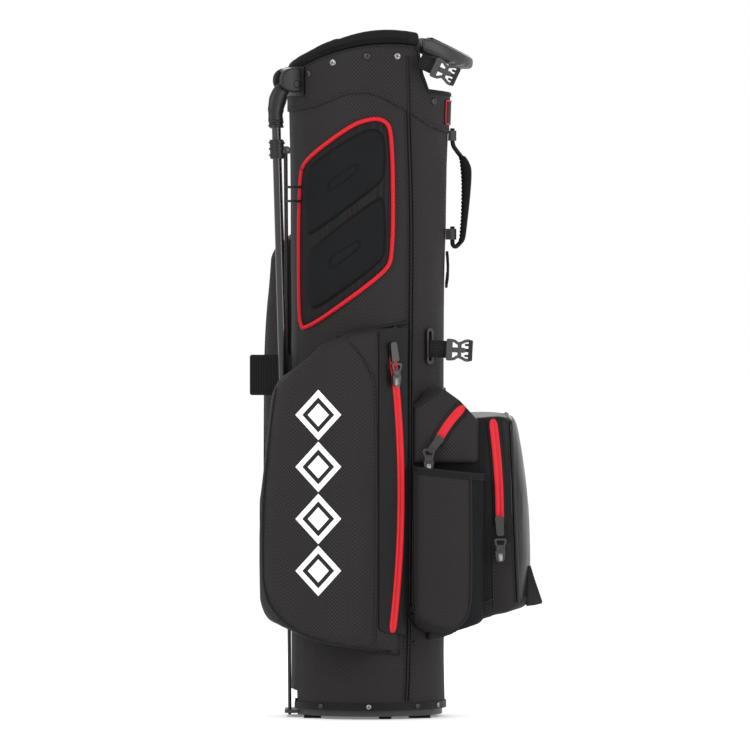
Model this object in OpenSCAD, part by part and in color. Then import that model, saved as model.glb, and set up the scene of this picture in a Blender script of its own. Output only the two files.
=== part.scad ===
// Golf stand bag: an oval body on a moulded base, a four-way cuff, two swing-out legs and zipped pockets.
// Millimetres, +Z up. The legs stand on the -X side, the ball pocket and the handles on the +X side.

/* [Frame] */
// How far the body's axis stands from the middle of the whole bag, along X
frame_x = -36; // [-45:1:-25]

/* [Body] */
// Half the body's width along X, at the base
body_rx = 99; // [97:0.5:101]
// Half the body's width along Y, at the base
body_ry = 100; // [98:0.5:102]
// Extra half width at the rim
rim_flare = 6.5; // [5:0.5:8]
// Thickness of the body's fabric wall
wall = 3; // [2:0.5:4]
// Height of the fabric's lower edge
body_z = 12; // [11:1:14]
// Height where the body begins to flare
flare_z = 520; // [515:5:560]

/* [Rim] */
// Place of the rim's highest point, along X
arch_x = 28; // [24:1:32]
// Height of the collar's highest point
rim_z = 880; // [878:1:884]
// Radius of the collar's top arch
collar_arch = 205; // [200:1:210]
// Radius of the arch where the collar meets the body
seam_arch = 234; // [228:1:240]
// Height of the collar at its highest point
collar_h = 20; // [16:1:22]

/* [Legs] */
// Height of the leg hinges
pivot_z = 811; // [806:1:814]
// Place of the leg hinges along X
pivot_x = -97; // [-100:0.5:-96]
// Distance of each leg hinge from the middle
pivot_y = 55; // [53:1:57]
// Angle between a leg's swing and straight ahead
splay = 28; // [24:1:32]
// Radius of a leg tube
leg_r = 5.2; // [4.8:0.1:5.6]
// Radius of an actuator rod
rod_r = 2; // [1.6:0.1:2.2]
// Height of a stowed leg's foot
foot_z = 130; // [124:1:140]

/* [Base] */
// Height of the base plate's hinge pin
hinge_z = 9; // [8.5:0.5:10]
// Place of the base plate's hinge pin along X
hinge_x = 44; // [40:1:46]
// Half the width of the base plate
plate_y = 34; // [30:1:36]
// Place of the plate's front end along X
plate_front = -107; // [-108:0.5:-106]

/* [Pockets] */
// How far the side pockets stand out, from the middle
side_depth = 158; // [150:1:162]
// How far the ball pocket stands out, from the body's axis
ball_depth = 209; // [200:1:214]
// Half the width of the ball pocket's sides
ball_y = 72; // [70:1:74]
// Width of a zipper's coil
coil_w = 11; // [9:0.5:12]

/* [Hidden] */

gap = 0.3;
fit = 0.05;
oval_sides = 72;
top_z = 900;
side_near = -1;
side_far = 1;

// Body section at each height: half widths and the shift of its centre along X.
flare_mid_z = (flare_z + top_z) / 2;
function rx_at(z) = lookup(z, [[0, body_rx], [flare_z, body_rx - 0.5], [flare_mid_z, body_rx + rim_flare * 0.4],
    [top_z, body_rx + rim_flare + 1]]);
function ry_at(z) = lookup(z, [[0, body_ry], [flare_z, body_ry], [top_z, body_ry + rim_flare / 2]]);
function cx_at(z) = lookup(z, [[0, 0], [flare_z, -0.5], [top_z, 1.5]]);
function surface_y(x, z) = ry_at(z) * sqrt(1 - pow((x - cx_at(z)) / rx_at(z), 2));

// Outline tools.
function unit(v) = v / norm(v);
function oval(rx, ry) = [for (i = [0:oval_sides - 1]) let(a = 360 * i / oval_sides) [rx * cos(a), ry * sin(a)]];
function corner(a, p, b, r, n) =
    let(u = unit(a - p), v = unit(b - p), half = acos(u * v) / 2, c = p + unit(u + v) * r / sin(half))
    let(s = p + u * r / tan(half) - c, e = p + v * r / tan(half) - c)
    [for (i = [0:n]) c + r * unit(s * (1 - i / n) + e * (i / n))];
// A closed outline from points [x, y, corner radius].
function rounded(pts, n = 6) =
    let(k = len(pts))
    [for (i = [0:k - 1])
        let(a = pts[(i + k - 1) % k], p = pts[i], b = pts[(i + 1) % k])
        each (p[2] == 0 ? [[p[0], p[1]]]
            : corner([a[0], a[1]], [p[0], p[1]], [b[0], b[1]], p[2], n))];
// Points of an arch of radius r whose crown is at (arch_x, crown), from x0 to x1.
function arch(r, crown, x0, x1, n = 16) =
    [for (i = [0:n]) let(x = x0 + (x1 - x0) * i / n) [x, crown - r + sqrt(r * r - pow(x - arch_x, 2))]];
// A strip along an arc about (cx, cy), w wide, from angle a0 to a1.
function arc_strip(cx, cy, r, w, a0, a1, n = 16) =
    concat([for (i = [0:n]) let(a = a0 + (a1 - a0) * i / n) [cx + (r + w / 2) * cos(a), cy + (r + w / 2) * sin(a)]],
        [for (i = [n:-1:0]) let(a = a0 + (a1 - a0) * i / n) [cx + (r - w / 2) * cos(a), cy + (r - w / 2) * sin(a)]]);

// Placing tools.
module placed() { translate([frame_x, 0, 0]) children(); }
// Extrudes a side-view outline (X, Z) from y0 to y1.
module across(y0, y1) { translate([0, y1, 0]) rotate([90, 0, 0]) linear_extrude(y1 - y0) children(); }
// Extrudes a top-view outline (X, Y) from z0 to z1.
module upright(z0, z1) { translate([0, 0, z0]) linear_extrude(z1 - z0) children(); }
// Puts a child on the body's surface, with +X pointing outwards.
module outward(x, z, side) {
    y = side * surface_y(x, z);
    turn = atan2(y / pow(ry_at(z), 2), (x - cx_at(z)) / pow(rx_at(z), 2));
    translate([x, y, z]) rotate([0, 0, turn]) children();
}
module pair() {
    children();
    mirror([0, 1, 0]) children();
}
// A rod between two points.
module bar(a, b, r) {
    d = b - a;
    translate(a)
        rotate([0, acos(d[2] / norm(d)), atan2(d[1], d[0])])
            cylinder(h = norm(d), r = r, $fn = 24);
}

// The body's outer form, grown by a distance, up to the top of the rim.
module body_form(grow, z0 = body_z) {
    heights = [z0, flare_z, flare_mid_z, top_z];
    rows = [for (z = heights) for (p = oval(rx_at(z) + grow, ry_at(z) + grow)) [p[0] + cx_at(z), p[1], z]];
    n = oval_sides;
    last = (len(heights) - 1) * n;
    sides = [for (k = [0:len(heights) - 2]) for (i = [0:n - 1])
        [k * n + i, (k + 1) * n + i, (k + 1) * n + (i + 1) % n, k * n + (i + 1) % n]];
    polyhedron(points = rows,
        faces = concat([[for (i = [0:n - 1]) i]], sides, [[for (i = [n - 1:-1:0]) last + i]]));
}
// A skin on the body between two distances from its surface.
module body_skin(inner, outer) {
    difference() {
        body_form(outer, 0);
        translate([0, 0, -1]) body_form(inner, 0);
    }
}

// ---- Base ----
cup_rx = body_rx - wall - 0.5;
cup_ry = body_ry - wall - 0.5;
cup_wall = 4;
cup_top = 60;
floor_z = 34;
floor_t = 3;
skirt_z = 3.5;
pin_r = 3;
pin_half = 44;
stay_x = 80;
stay_y = 36;
stay_r = 3;
stay_seat = 20;
foot_rows = [[-71, 52, 11, 8], [66, 46, 14, 14], [22, 76, 8, 8]];

module stays() {
    for (x = [-stay_x, stay_x])
        for (y = [-stay_y, stay_y])
            translate([x, y, 0]) children();
}

// The opening at the front through which the base plate rises.
module plate_notch(top) {
    translate([plate_front - 2, -plate_y - 2, -1]) cube([45, 2 * plate_y + 4, top + 1]);
}

module base_cup() {
    placed() color([0.24, 0.24, 0.24]) difference() {
        union() {
            difference() {
                upright(skirt_z, cup_top) polygon(oval(cup_rx, cup_ry));
                upright(skirt_z - 1, cup_top + 1) polygon(oval(cup_rx - cup_wall, cup_ry - cup_wall));
            }
            upright(floor_z, floor_z + floor_t) polygon(oval(cup_rx - 1, cup_ry - 1));
            stays() upright(floor_z, floor_z + stay_seat) circle(r = stay_r + 3, $fn = 32);
            intersection() {
                upright(skirt_z, floor_z + 1) polygon(oval(cup_rx - 1, cup_ry - 1));
                for (f = foot_rows)
                    pair() translate([f[0] - f[2] + 2, f[1] - f[3] + 2, skirt_z])
                        cube([2 * f[2] - 4, 2 * f[3] - 4, floor_z - skirt_z + 1]);
            }
            pair() translate([hinge_x - 6, plate_y + 1, skirt_z]) cube([12, 8, floor_z - skirt_z + 1]);
        }
        translate([hinge_x, -pin_half - 1, hinge_z]) rotate([-90, 0, 0])
            cylinder(h = 2 * pin_half + 2, r = pin_r + fit, $fn = 48);
        plate_notch(floor_z - 0.2);
        stays() translate([0, 0, floor_z + floor_t + 2]) cylinder(h = stay_seat, r = stay_r + fit, $fn = 48);
    }
}

module base_feet() {
    placed() color([0.15, 0.15, 0.15]) for (f = foot_rows)
        pair() translate([f[0], f[1], 0]) upright(0, skirt_z)
            polygon(rounded([[-f[2], -f[3], 3], [f[2], -f[3], 3], [f[2], f[3], 3], [-f[2], f[3], 3]], 4));
}

eye_x = -100.5;
eye_y = 27;
eye_r = 6.5;

module base_plate() {
    plate_z = 5;
    plate_t = 4;
    placed() color([0.2, 0.2, 0.2]) difference() {
        union() {
            upright(plate_z, plate_z + plate_t) polygon(rounded([[plate_front, -plate_y, 8],
                [hinge_x - 9, -plate_y, 0], [hinge_x - 9, plate_y, 0], [plate_front, plate_y, 8]]));
            for (x = [-90:20:20])
                translate([x, -plate_y + 6, plate_z - 2]) cube([6, 2 * plate_y - 12, 3]);
            for (y = [-plate_y + 2, 2])
                translate([hinge_x - 12, y, plate_z]) cube([12, plate_y - 4, plate_t]);
            for (y = [-plate_y + 2, 2])
                translate([hinge_x, y, hinge_z]) rotate([-90, 0, 0]) cylinder(h = plate_y - 4, r = 5.5, $fn = 48);
        }
        translate([hinge_x, -plate_y - 1, hinge_z]) rotate([-90, 0, 0])
            cylinder(h = 2 * plate_y + 2, r = pin_r + fit, $fn = 48);
        pair() translate([eye_x, -eye_y, 0]) cylinder(h = 20, r = eye_r - 1.5, $fn = 48);
    }
}

module base_hinge_pin() {
    placed() color([0.6, 0.6, 0.6]) translate([hinge_x, -pin_half + 1, hinge_z]) rotate([-90, 0, 0])
        cylinder(h = 2 * pin_half - 2, r = pin_r, $fn = 48);
}

band_top = 20.6;

module base_band() {
    placed() color([0.08, 0.08, 0.08]) difference() {
        upright(body_z - 0.5, band_top) polygon(oval(body_rx + 1.8, body_ry + 1.8));
        upright(body_z - 1, band_top + 1) polygon(oval(body_rx + 0.2, body_ry + 0.2));
        plate_notch(floor_z);
    }
}

module screw_head(r, h, shank) {
    rotate([0, 90, 0]) {
        cylinder(h = h * 0.6, r = r, $fn = 32);
        translate([0, 0, h * 0.6]) cylinder(h = h * 0.4, r1 = r, r2 = r * 0.7, $fn = 32);
        translate([0, 0, -shank]) cylinder(h = shank, r = r * 0.45, $fn = 24);
    }
}

base_screw_x = [-59, 1, 62, 88];

module base_screws() {
    placed() color([0.12, 0.12, 0.12]) for (x = base_screw_x)
        for (side = [side_near, side_far])
            outward(x, (body_z + band_top) / 2, side) translate([1.8, 0, 0]) screw_head(3.2, 1.6, 8);
}

// ---- Body ----
notch = [[62, 0], [68, 825], [77, 802], [120, 797]];
seam_crown = rim_z - collar_h;

// Everything below the fabric's top edge, in side view.
module below_seam(drop) {
    edge = [for (p = arch(seam_arch, seam_crown, -125, notch[0][0])) [p[0], p[1] - drop]];
    polygon(concat(edge, [for (p = [notch[1], notch[2], notch[3]]) [p[0], p[1] - drop]], [[120, 0], [-125, 0]]));
}

module body_shell() {
    placed() color([0.22, 0.21, 0.21]) intersection() {
        difference() {
            body_form(0);
            translate([0, 0, -2]) body_form(-wall, 0);
            plate_notch(floor_z);
        }
        across(-120, 120) below_seam(0);
    }
}

module stay_rods() {
    placed() color([0.75, 0.72, 0.6]) stays()
        translate([0, 0, floor_z + floor_t + 2.2]) cylinder(h = 728, r = stay_r, $fn = 32);
}

cuff_z = 770;
cuff_wall = 4;
bar_half = 3;
bar_outline = [[-99, 814, 0], [-60, 838, 40], [28, 852, 80], [60, 842, 10], [74, 794, 10], [99, 788, 0],
    [99, 766, 0], [60, 772, 30], [10, 806, 60], [-50, 800, 60], [-99, 776, 0]];

module divider_bar_long(half, lift) {
    across(-half, half) translate([0, lift]) polygon(rounded(bar_outline));
}

module top_cuff() {
    placed() color([0.1, 0.1, 0.1]) union() {
        intersection() {
            body_skin(-wall - gap - cuff_wall, -wall - gap);
            across(-120, 120) difference() {
                below_seam(0.2);
                translate([-130, 0]) square([260, cuff_z]);
            }
        }
        intersection() {
            union() {
                divider_bar_long(bar_half, 0);
                translate([-bar_half, -105, 806]) cube([2 * bar_half, 210, 38]);
            }
            body_form(-wall - gap - 1, 0);
        }
    }
}

module cuff_collar() {
    collar_end = 66;
    placed() color([0.13, 0.13, 0.13]) intersection() {
        difference() {
            body_form(-0.5, 0);
            body_form(-21, 0);
        }
        across(-120, 120) polygon(concat(arch(collar_arch, rim_z, -115, collar_end),
            [for (p = arch(seam_arch, seam_crown, collar_end, -115)) [p[0], p[1] + 0.2]]));
    }
}

module divider_pads() {
    cross_y = 82;
    placed() color([0.1, 0.1, 0.1]) {
        intersection() {
            difference() {
                divider_bar_long(7, 5);
                divider_bar_long(8, gap);
                translate([72, -10, 700]) cube([60, 20, 200]);
            }
            body_form(-22, 0);
        }
        pair() translate([-7, 7.5, 844 + gap]) cube([14, cross_y - 7.5 - 4, 5]);
    }
}

handle_top = [[62, 871, 0], [80, 870, 20], [106, 857, 40], [136, 842, 3]];
handle_under = [[134, 832, 3], [118, 834, 20], [76, 849, 20], [62, 855, 0]];

module cuff_handle() {
    placed() color([0.3, 0.3, 0.3]) intersection() {
        across(-120, 120) polygon(rounded(concat(handle_top, handle_under)));
        upright(800, 900) translate([30, 0]) difference() {
            polygon(oval(106, 89));
            polygon(oval(84, 66));
        }
        translate([67, -120, 800]) cube([80, 240, 100]);
    }
}

cuff_screw_spots = [[-75, 824], [-44, 838], [-1, 846], [37, 846], [83, 789]];

module cuff_screws() {
    placed() color([0.75, 0.75, 0.75]) for (s = cuff_screw_spots)
        for (side = [side_near, side_far])
            outward(s[0], s[1], side) screw_head(4.2, 2.2, 7);
}

panel_t = 2;
panel_z = [cup_top + 1, 765];
cross_top = 799;

module divider_long() {
    placed() color([0.16, 0.16, 0.16])
        translate([-94, -panel_t / 2, panel_z[0]]) cube([188, panel_t, panel_z[1] - panel_z[0]]);
}

module divider_cross() {
    placed() color([0.16, 0.16, 0.16]) pair()
        translate([-panel_t / 2, panel_t / 2 + gap, panel_z[0]]) cube([panel_t, 91, cross_top - panel_z[0]]);
}

seam_x = 54.6;

module seam_piping() {
    piping_r = 1.8;
    piping_z = [24, 845];
    placed() color([0.05, 0.05, 0.05]) intersection() {
        body_skin(0.1, 3);
        pair() across(-120, 0) translate([seam_x - piping_r, piping_z[0]])
            square([2 * piping_r, piping_z[1] - piping_z[0]]);
    }
}

module label_patch() {
    placed() color([0.1, 0.1, 0.1]) intersection() {
        body_skin(0.2, 2.2);
        translate([60, -38, 760]) cube([60, 48, 30]);
    }
}

// ---- Legs ----
// Puts children in a leg's own plane: the hinge at the origin, its axis along Y, outwards along -X.
module at_leg(side) { translate([pivot_x, side * pivot_y, pivot_z]) rotate([0, 0, -side * splay]) children(); }

leg_top = [-24, -37];
leg_end = [-3.4, foot_z - pivot_z];
leg_lean = atan((leg_end[0] - leg_top[0]) / (leg_top[1] - leg_end[1]));
leg_len = norm(leg_top - leg_end);
boss_half = 6;
boss_r = 7;
ear_t = 5;
rod_pin = [-10, -84];
rod_pin_r = 2;

// Runs children down a leg tube from its top end, along -Z.
module down_leg() { translate([leg_top[0], 0, leg_top[1]]) rotate([0, -leg_lean, 0]) children(); }
module cross_cylinder(r, half) { rotate([90, 0, 0]) cylinder(h = 2 * half, r = r, center = true, $fn = 48); }

module leg_bracket() {
    placed() color([0.1, 0.1, 0.1]) difference() {
        union() {
            intersection() {
                body_skin(0.2, 4);
                translate([-125, -76, 796]) cube([43, 152, 37]);
            }
            for (side = [side_near, side_far])
                at_leg(side) for (y = [-boss_half - gap - ear_t, boss_half + gap])
                    translate([0, y, 0]) {
                        translate([0, 0, -boss_r]) cube([14, ear_t, 2 * boss_r + 3]);
                        translate([0, ear_t / 2, 0]) cross_cylinder(boss_r, ear_t / 2);
                    }
            for (side = [side_near, side_far])
                at_leg(side) translate([-4, -boss_half - gap - ear_t, boss_r + 1])
                    cube([16, 2 * (boss_half + gap + ear_t), 5]);
        }
        body_form(0.2, 0);
        for (side = [side_near, side_far])
            at_leg(side) cross_cylinder(pin_r + fit, 20);
        for (side = [side_near, side_far])
            at_leg(side) cross_cylinder(boss_r + 0.6, boss_half + gap);
    }
}

module leg_pins() {
    placed() color([0.7, 0.7, 0.7]) for (side = [side_near, side_far])
        at_leg(side) {
            cross_cylinder(pin_r, boss_half + gap + ear_t);
            translate([0, side * (boss_half + gap + ear_t + 0.75), 0]) cross_cylinder(pin_r + 1.5, 0.75);
        }
}

module leg_bumpers() {
    placed() color([0.1, 0.1, 0.1]) difference() {
        pair() for (z = [660, 678])
            at_leg(side_near) translate([-13, -5.8, z - pivot_z]) cube([28, 3.4, 3]);
        body_form(0.1, 0);
    }
}

module leg_head(side) {
    socket_r = leg_r + 2.6;
    arm = leg_top + [0, 4];
    placed() color([0.12, 0.12, 0.12]) at_leg(side) difference() {
        union() {
            cross_cylinder(boss_r, boss_half);
            rotate([0, atan2(arm[0], arm[1]), 0]) translate([-6, -5.5, 0]) cube([12, 11, norm(arm)]);
            down_leg() translate([0, 0, -16]) cylinder(h = 22, r = socket_r, $fn = 48);
            for (k = [0:1])
                down_leg() translate([0, 0, -12 + 7 * k]) cylinder(h = 2.5, r = socket_r + 1.4, $fn = 48);
        }
        cross_cylinder(pin_r + fit, 20);
        down_leg() translate([0, 0, -17]) cylinder(h = 17, r = leg_r + fit, $fn = 48);
    }
}

module leg_tube(side) {
    placed() color([0.05, 0.05, 0.05]) at_leg(side) down_leg()
        translate([0, 0, -leg_len]) difference() {
            cylinder(h = leg_len - 0.2, r = leg_r, $fn = 48);
            translate([0, 0, -1]) cylinder(h = leg_len + 2, r = leg_r - 1, $fn = 48);
        }
}

module leg_foot(side) {
    foot_r = 9;
    placed() color([0.1, 0.1, 0.1]) at_leg(side) down_leg() translate([0, 0, -leg_len]) difference() {
        union() {
            translate([0, 0, -8]) cylinder(h = 30, r = foot_r, $fn = 48);
            translate([0, 0, -8]) sphere(r = foot_r, $fn = 32);
        }
        translate([0, 0, -0.2]) cylinder(h = 30, r = leg_r + fit, $fn = 48);
    }
}

// The clip on a leg that carries the rod's upper eye.
module leg_sleeve(side) {
    sleeve_r = 8.5;
    lug_t = 2.5;
    lug_in = 3.3;
    placed() color([0.12, 0.12, 0.12]) at_leg(side) difference() {
        union() {
            down_leg() translate([0, 0, -58]) cylinder(h = 24, r = sleeve_r, $fn = 48);
            for (k = [0:2])
                down_leg() translate([0, 0, -55 + 8 * k]) cylinder(h = 2.5, r = sleeve_r + 1.3, $fn = 48);
            for (y = [-lug_in - lug_t, lug_in])
                translate([rod_pin[0], y, rod_pin[1]]) {
                    translate([-12, 0, -4.5]) cube([12, lug_t, 9]);
                    translate([0, lug_t / 2, 0]) cross_cylinder(4.5, lug_t / 2);
                }
        }
        down_leg() translate([0, 0, -60]) cylinder(h = 60, r = leg_r + fit, $fn = 48);
        translate([rod_pin[0], 0, rod_pin[1]]) cross_cylinder(rod_pin_r + fit, 10);
        translate([rod_pin[0], 0, rod_pin[1]]) cross_cylinder(6, lug_in);
    }
}

module rod_pin_node(side) {
    placed() color([0.7, 0.7, 0.7]) at_leg(side)
        translate([rod_pin[0], 0, rod_pin[1]]) cross_cylinder(rod_pin_r, 7);
}

// The rod's upper end in the body's own frame, and its lower end through the plate's eye.
function rod_top(side) = [pivot_x + rod_pin[0] * cos(splay), side * (pivot_y - rod_pin[0] * sin(splay)),
    pivot_z + rod_pin[1]];
function rod_foot(side) = [eye_x, side * eye_y, 3];

module rod(side) {
    placed() color([0.3, 0.3, 0.3]) difference() {
        union() {
            bar(rod_top(side), rod_foot(side), rod_r);
            translate(rod_top(side)) rotate([0, 0, -side * splay]) cross_cylinder(4.2, 2.9);
        }
        translate(rod_top(side)) rotate([0, 0, -side * splay]) cross_cylinder(rod_pin_r + fit, 10);
    }
}

module leg_strap() {
    strap_z = [412, 464];
    placed() color([0.12, 0.12, 0.12]) difference() {
        across(4, 10) polygon(rounded([[-152, strap_z[0], 3], [-90, strap_z[0], 0],
            [-90, strap_z[1], 0], [-152, strap_z[1], 3]]));
        body_form(0.2, 0);
    }
}

// ---- Side pockets ----
flank_x = 52;
flank_y = 88;
flank_turn = 35;
flank_w = 48.8;
zip_r = 1170;
zip_x = -13.3;

// Top view of a side pocket on the near side, clear of the leg's swing.
function pocket_plan(d) = rounded([[flank_x, -flank_y, 2], [12, -116, 20], [-35, -d + 8, 60], [-84, -d, 50],
    [-124, -142, 40], [-140, -112, 14], [-139, -89, 8], [-100, -69, 4], [-68, -67, 0], [0, -80, 0]]);
near_outline = [[55, 509, 0], [-36, 492, 60], [-106, 460, 60], [-141, 300, 200], [-138, 124, 52], [42, 82, 6]];
far_outline = [[55, 655, 0], [-40, 640, 60], [-122, 622, 60], [-141, 470, 200], [-138, 124, 52], [42, 82, 6]];

module side_pocket(outline) {
    intersection() {
        across(-170, 0) polygon(rounded(outline));
        upright(60, 700) difference() {
            polygon(pocket_plan(side_depth));
            polygon(oval(body_rx + gap, body_ry + gap));
        }
    }
}

module near_pocket() { placed() color([0.22, 0.21, 0.21]) side_pocket(near_outline); }
module far_pocket() {
    placed() color([0.22, 0.21, 0.21]) mirror([0, 1, 0]) difference() {
        side_pocket(far_outline);
        body_form(gap, 0);
    }
}

// Puts children on the near pocket's flank: X along it, -Y outwards.
module on_flank() { translate([flank_x, -flank_y, 0]) rotate([0, 0, flank_turn]) children(); }

near_zip_z = [118, 461];
far_zip_z = [118, 590];
function zip_mid(zz) = (zz[0] + zz[1]) / 2;
function zip_half(zz) = asin((zz[1] - zz[0]) / 2 / zip_r);

module zip_band(zz) {
    on_flank() across(-1.5, -0.1) polygon(rounded([[-flank_w + 2, zz[1] + 36, 6], [-3, zz[1] + 40, 3],
        [-5, zz[0] - 10, 3], [-flank_w + 2, zz[0] - 4, 8]]));
}
module zip_coil(zz) {
    on_flank() across(-3.1, -1.6)
        polygon(arc_strip(zip_x - zip_r, zip_mid(zz), zip_r, coil_w, -zip_half(zz) - 0.4, zip_half(zz) + 0.8));
}
module zip_slider() {
    across(-8, -3.3) polygon(rounded([[-5.6, -4, 2], [5.6, -4, 2], [4.6, 21, 3], [-4.6, 21, 3]]));
}
pull_y = [-11, -8.3];
// The ring and tag that hang from a slider, with their hinge at the origin.
module zip_pull() {
    across(pull_y[0], pull_y[1]) difference() {
        polygon(rounded([[-9, -1, 3], [9, -1, 3], [5.5, -12.5, 3], [-5.5, -12.5, 3]]));
        polygon(rounded([[-6, -3.4, 2], [6, -3.4, 2], [3.6, -10, 2], [-3.6, -10, 2]]));
    }
    across(pull_y[0], pull_y[1]) polygon(rounded([[-3.5, -12, 1], [3.5, -12, 1], [6.5, -18, 3], [5, -31, 4], [-5, -31, 4],
        [-6.5, -18, 3]]));
}
// Carries children to the top end of a side pocket's zipper.
module at_zip_top(zz) {
    on_flank() translate([zip_x - zip_r + zip_r * cos(zip_half(zz)), 0, zz[1]])
        rotate([0, -zip_half(zz), 0]) children();
}
module zip_rest(zz) {
    on_flank() translate([zip_x - zip_r + zip_r * cos(zip_half(zz)), 0, zz[1]]) children();
}

module near_zip_band() { placed() color([0.07, 0.07, 0.07]) zip_band(near_zip_z); }
module far_zip_band() { placed() color([0.07, 0.07, 0.07]) mirror([0, 1, 0]) zip_band(far_zip_z); }
module near_zip_coil() { placed() color([0.8, 0.08, 0.1]) zip_coil(near_zip_z); }
module far_zip_coil() { placed() color([0.8, 0.08, 0.1]) mirror([0, 1, 0]) zip_coil(far_zip_z); }
module near_slider() { placed() color([0.3, 0.3, 0.3]) at_zip_top(near_zip_z) zip_slider(); }
module far_slider() { placed() color([0.3, 0.3, 0.3]) mirror([0, 1, 0]) at_zip_top(far_zip_z) zip_slider(); }
module near_pull() { placed() color([0.15, 0.15, 0.15]) zip_rest(near_zip_z) translate([0, 0, -5]) zip_pull(); }
module far_pull() {
    placed() color([0.15, 0.15, 0.15]) mirror([0, 1, 0]) zip_rest(far_zip_z) translate([0, 0, -5]) zip_pull();
}

// ---- Ball side pockets ----
ball_outline = [[60, 100, 0], [99, 91, 10], [140, 113, 0], [177, 126, 0], [206, 135, 8], [210, 200, 100],
    [206, 283, 100], [190, 388, 6], [142, 383, 0], [99, 398, 0], [60, 380, 0]];

module ball_pocket() {
    placed() color([0.1, 0.1, 0.1]) intersection() {
        across(-100, 100) polygon(rounded(ball_outline));
        upright(60, 420) difference() {
            polygon(rounded([[62, -ball_y, 0], [196, -ball_y, 14], [ball_depth, -30, 60], [ball_depth, 40, 60],
                [192, ball_y + 8, 26], [62, ball_y + 8, 0]]));
            polygon(oval(body_rx + gap, body_ry + gap));
        }
    }
}

// Ends of the ball pocket's zipper and of the valuables pocket's zipper, as X, Z.
ball_zip = [[168.3, 250.6], [160, 378]];
valuables_zip = [[88.7, 354.7], [124.6, 402]];
valuables_y = 91;

// Turns children so that +Z runs along a straight zipper from its lower end.
module along_zip(ends, y) {
    d = ends[1] - ends[0];
    translate([ends[0][0], -y, ends[0][1]]) rotate([0, atan2(d[0], d[1]), 0]) children();
}
module straight_zip(ends, y, margin) {
    length = norm(ends[1] - ends[0]);
    along_zip(ends, y) {
        across(-1.4, -0.1) polygon(rounded([[-margin, -8, 3], [margin, -8, 3], [margin, length + 6, 3],
            [-margin, length + 6, 3]], 4));
        across(-2.8, -1.4) translate([-coil_w / 2, -6]) square([coil_w, length + 10]);
    }
}

module ball_zip_tape() { placed() color([0.8, 0.08, 0.1]) straight_zip(ball_zip, ball_y, 9.5); }
module valuables_zip_tape() { placed() color([0.8, 0.08, 0.1]) straight_zip(valuables_zip, valuables_y, 10); }

module ball_slider() {
    placed() color([0.3, 0.3, 0.3]) along_zip(ball_zip, ball_y - 0.3) translate([0, 0, 4]) mirror([0, 0, 1])
        zip_slider();
}
module valuables_slider() {
    placed() color([0.3, 0.3, 0.3]) along_zip(valuables_zip, valuables_y - 0.3) translate([0, 0, 4])
        mirror([0, 0, 1]) zip_slider();
}
pull_drop = 19;
ball_pull_at = [ball_zip[0][0] + 1, ball_zip[0][1] - pull_drop];
valuables_pull_at = [valuables_zip[0][0] - 11, valuables_zip[0][1] - 8];

module ball_pull() {
    placed() color([0.15, 0.15, 0.15]) translate([ball_pull_at[0], -ball_y, ball_pull_at[1]]) zip_pull();
}
module valuables_pull() {
    placed() color([0.15, 0.15, 0.15])
        translate([valuables_pull_at[0], -valuables_y, valuables_pull_at[1]]) zip_pull();
}

module valuables_pocket() {
    placed() color([0.22, 0.21, 0.21]) intersection() {
        across(-100, 0) polygon(rounded([[58, 326, 4], [58, 398, 4], [99, 424, 8], [120, 408, 30], [141, 385, 8],
            [142, 326, 4]]));
        upright(300, 440) difference() {
            polygon(rounded([[57, -ball_y - gap, 0], [60, -valuables_y, 4], [138, -valuables_y, 10],
                [142, -ball_y - gap, 0]]));
            polygon(oval(body_rx + gap, body_ry + gap));
        }
    }
}

bottle_plan = [[57, -85, 0], [62, -110, 8], [108, -115, 40], [143, -106, 14], [149, -ball_y - gap, 0],
    [60, -ball_y - gap, 0]];

module bottle_pocket() {
    bottle_outline = [[57, 134, 0], [110, 110, 30], [149, 122, 20], [149, 316, 0], [57, 323, 0]];
    placed() color([0.2, 0.19, 0.19]) difference() {
        intersection() {
            across(-120, 0) polygon(rounded(bottle_outline));
            upright(90, 330) difference() {
                polygon(rounded(bottle_plan));
                polygon(oval(body_rx + gap, body_ry + gap));
            }
        }
        upright(130, 340) polygon(rounded([[82, -77, 0], [65, -94, 0], [66, -107, 5], [108, -111.5, 40],
            [140, -103, 10], [144, -77, 0]]));
    }
}

module rain_flap() {
    placed() color([0.08, 0.08, 0.08]) across(-34, 34)
        polygon(rounded([[209.8, 191, 0], [224, 148, 3], [209, 143, 0], [210.4, 160, 0]], 4));
}

// ---- Pad, handle and buckles ----
pad_outline = [[-86, 710, 8], [-8, 766, 20], [28, 766, 10], [33, 588, 10], [-76, 500, 12]];
piping_w = 5;

module hip_pad() {
    placed() color([0.12, 0.12, 0.12]) intersection() {
        body_skin(0.2, 7);
        across(-120, 0) offset(delta = -piping_w - 0.2) polygon(rounded(pad_outline));
    }
}
module hip_pad_piping() {
    placed() color([0.8, 0.08, 0.1]) intersection() {
        body_skin(0.2, 6);
        across(-120, 0) difference() {
            polygon(rounded(pad_outline));
            offset(delta = -piping_w) polygon(rounded(pad_outline));
        }
    }
}

anchor_x = 108.5;
grip_outline = [[116, 722, 3], [124, 722, 6], [134, 700, 14], [129, 640, 60], [124, 605, 4], [116, 605, 3],
    [119, 640, 60], [120, 690, 30]];

module grab_handle() {
    cord_r = 3;
    joint_r = 3.6;
    placed() color([0.1, 0.1, 0.1]) union() {
        across(-12, 12) polygon(rounded(grip_outline));
        bar([120, 0, 718], [anchor_x, 0, 731], cord_r);
        translate([anchor_x, 0, 732]) sphere(r = joint_r, $fn = 24);
        translate([anchor_x, 0, 732]) cylinder(h = 24, r = cord_r, $fn = 48);
        bar([120, 0, 609], [anchor_x, 0, 602], cord_r);
        translate([anchor_x, 0, 602]) sphere(r = joint_r, $fn = 24);
        translate([anchor_x, 0, 602]) cylinder(h = 28, r = cord_r, $fn = 48);
    }
}

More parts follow.
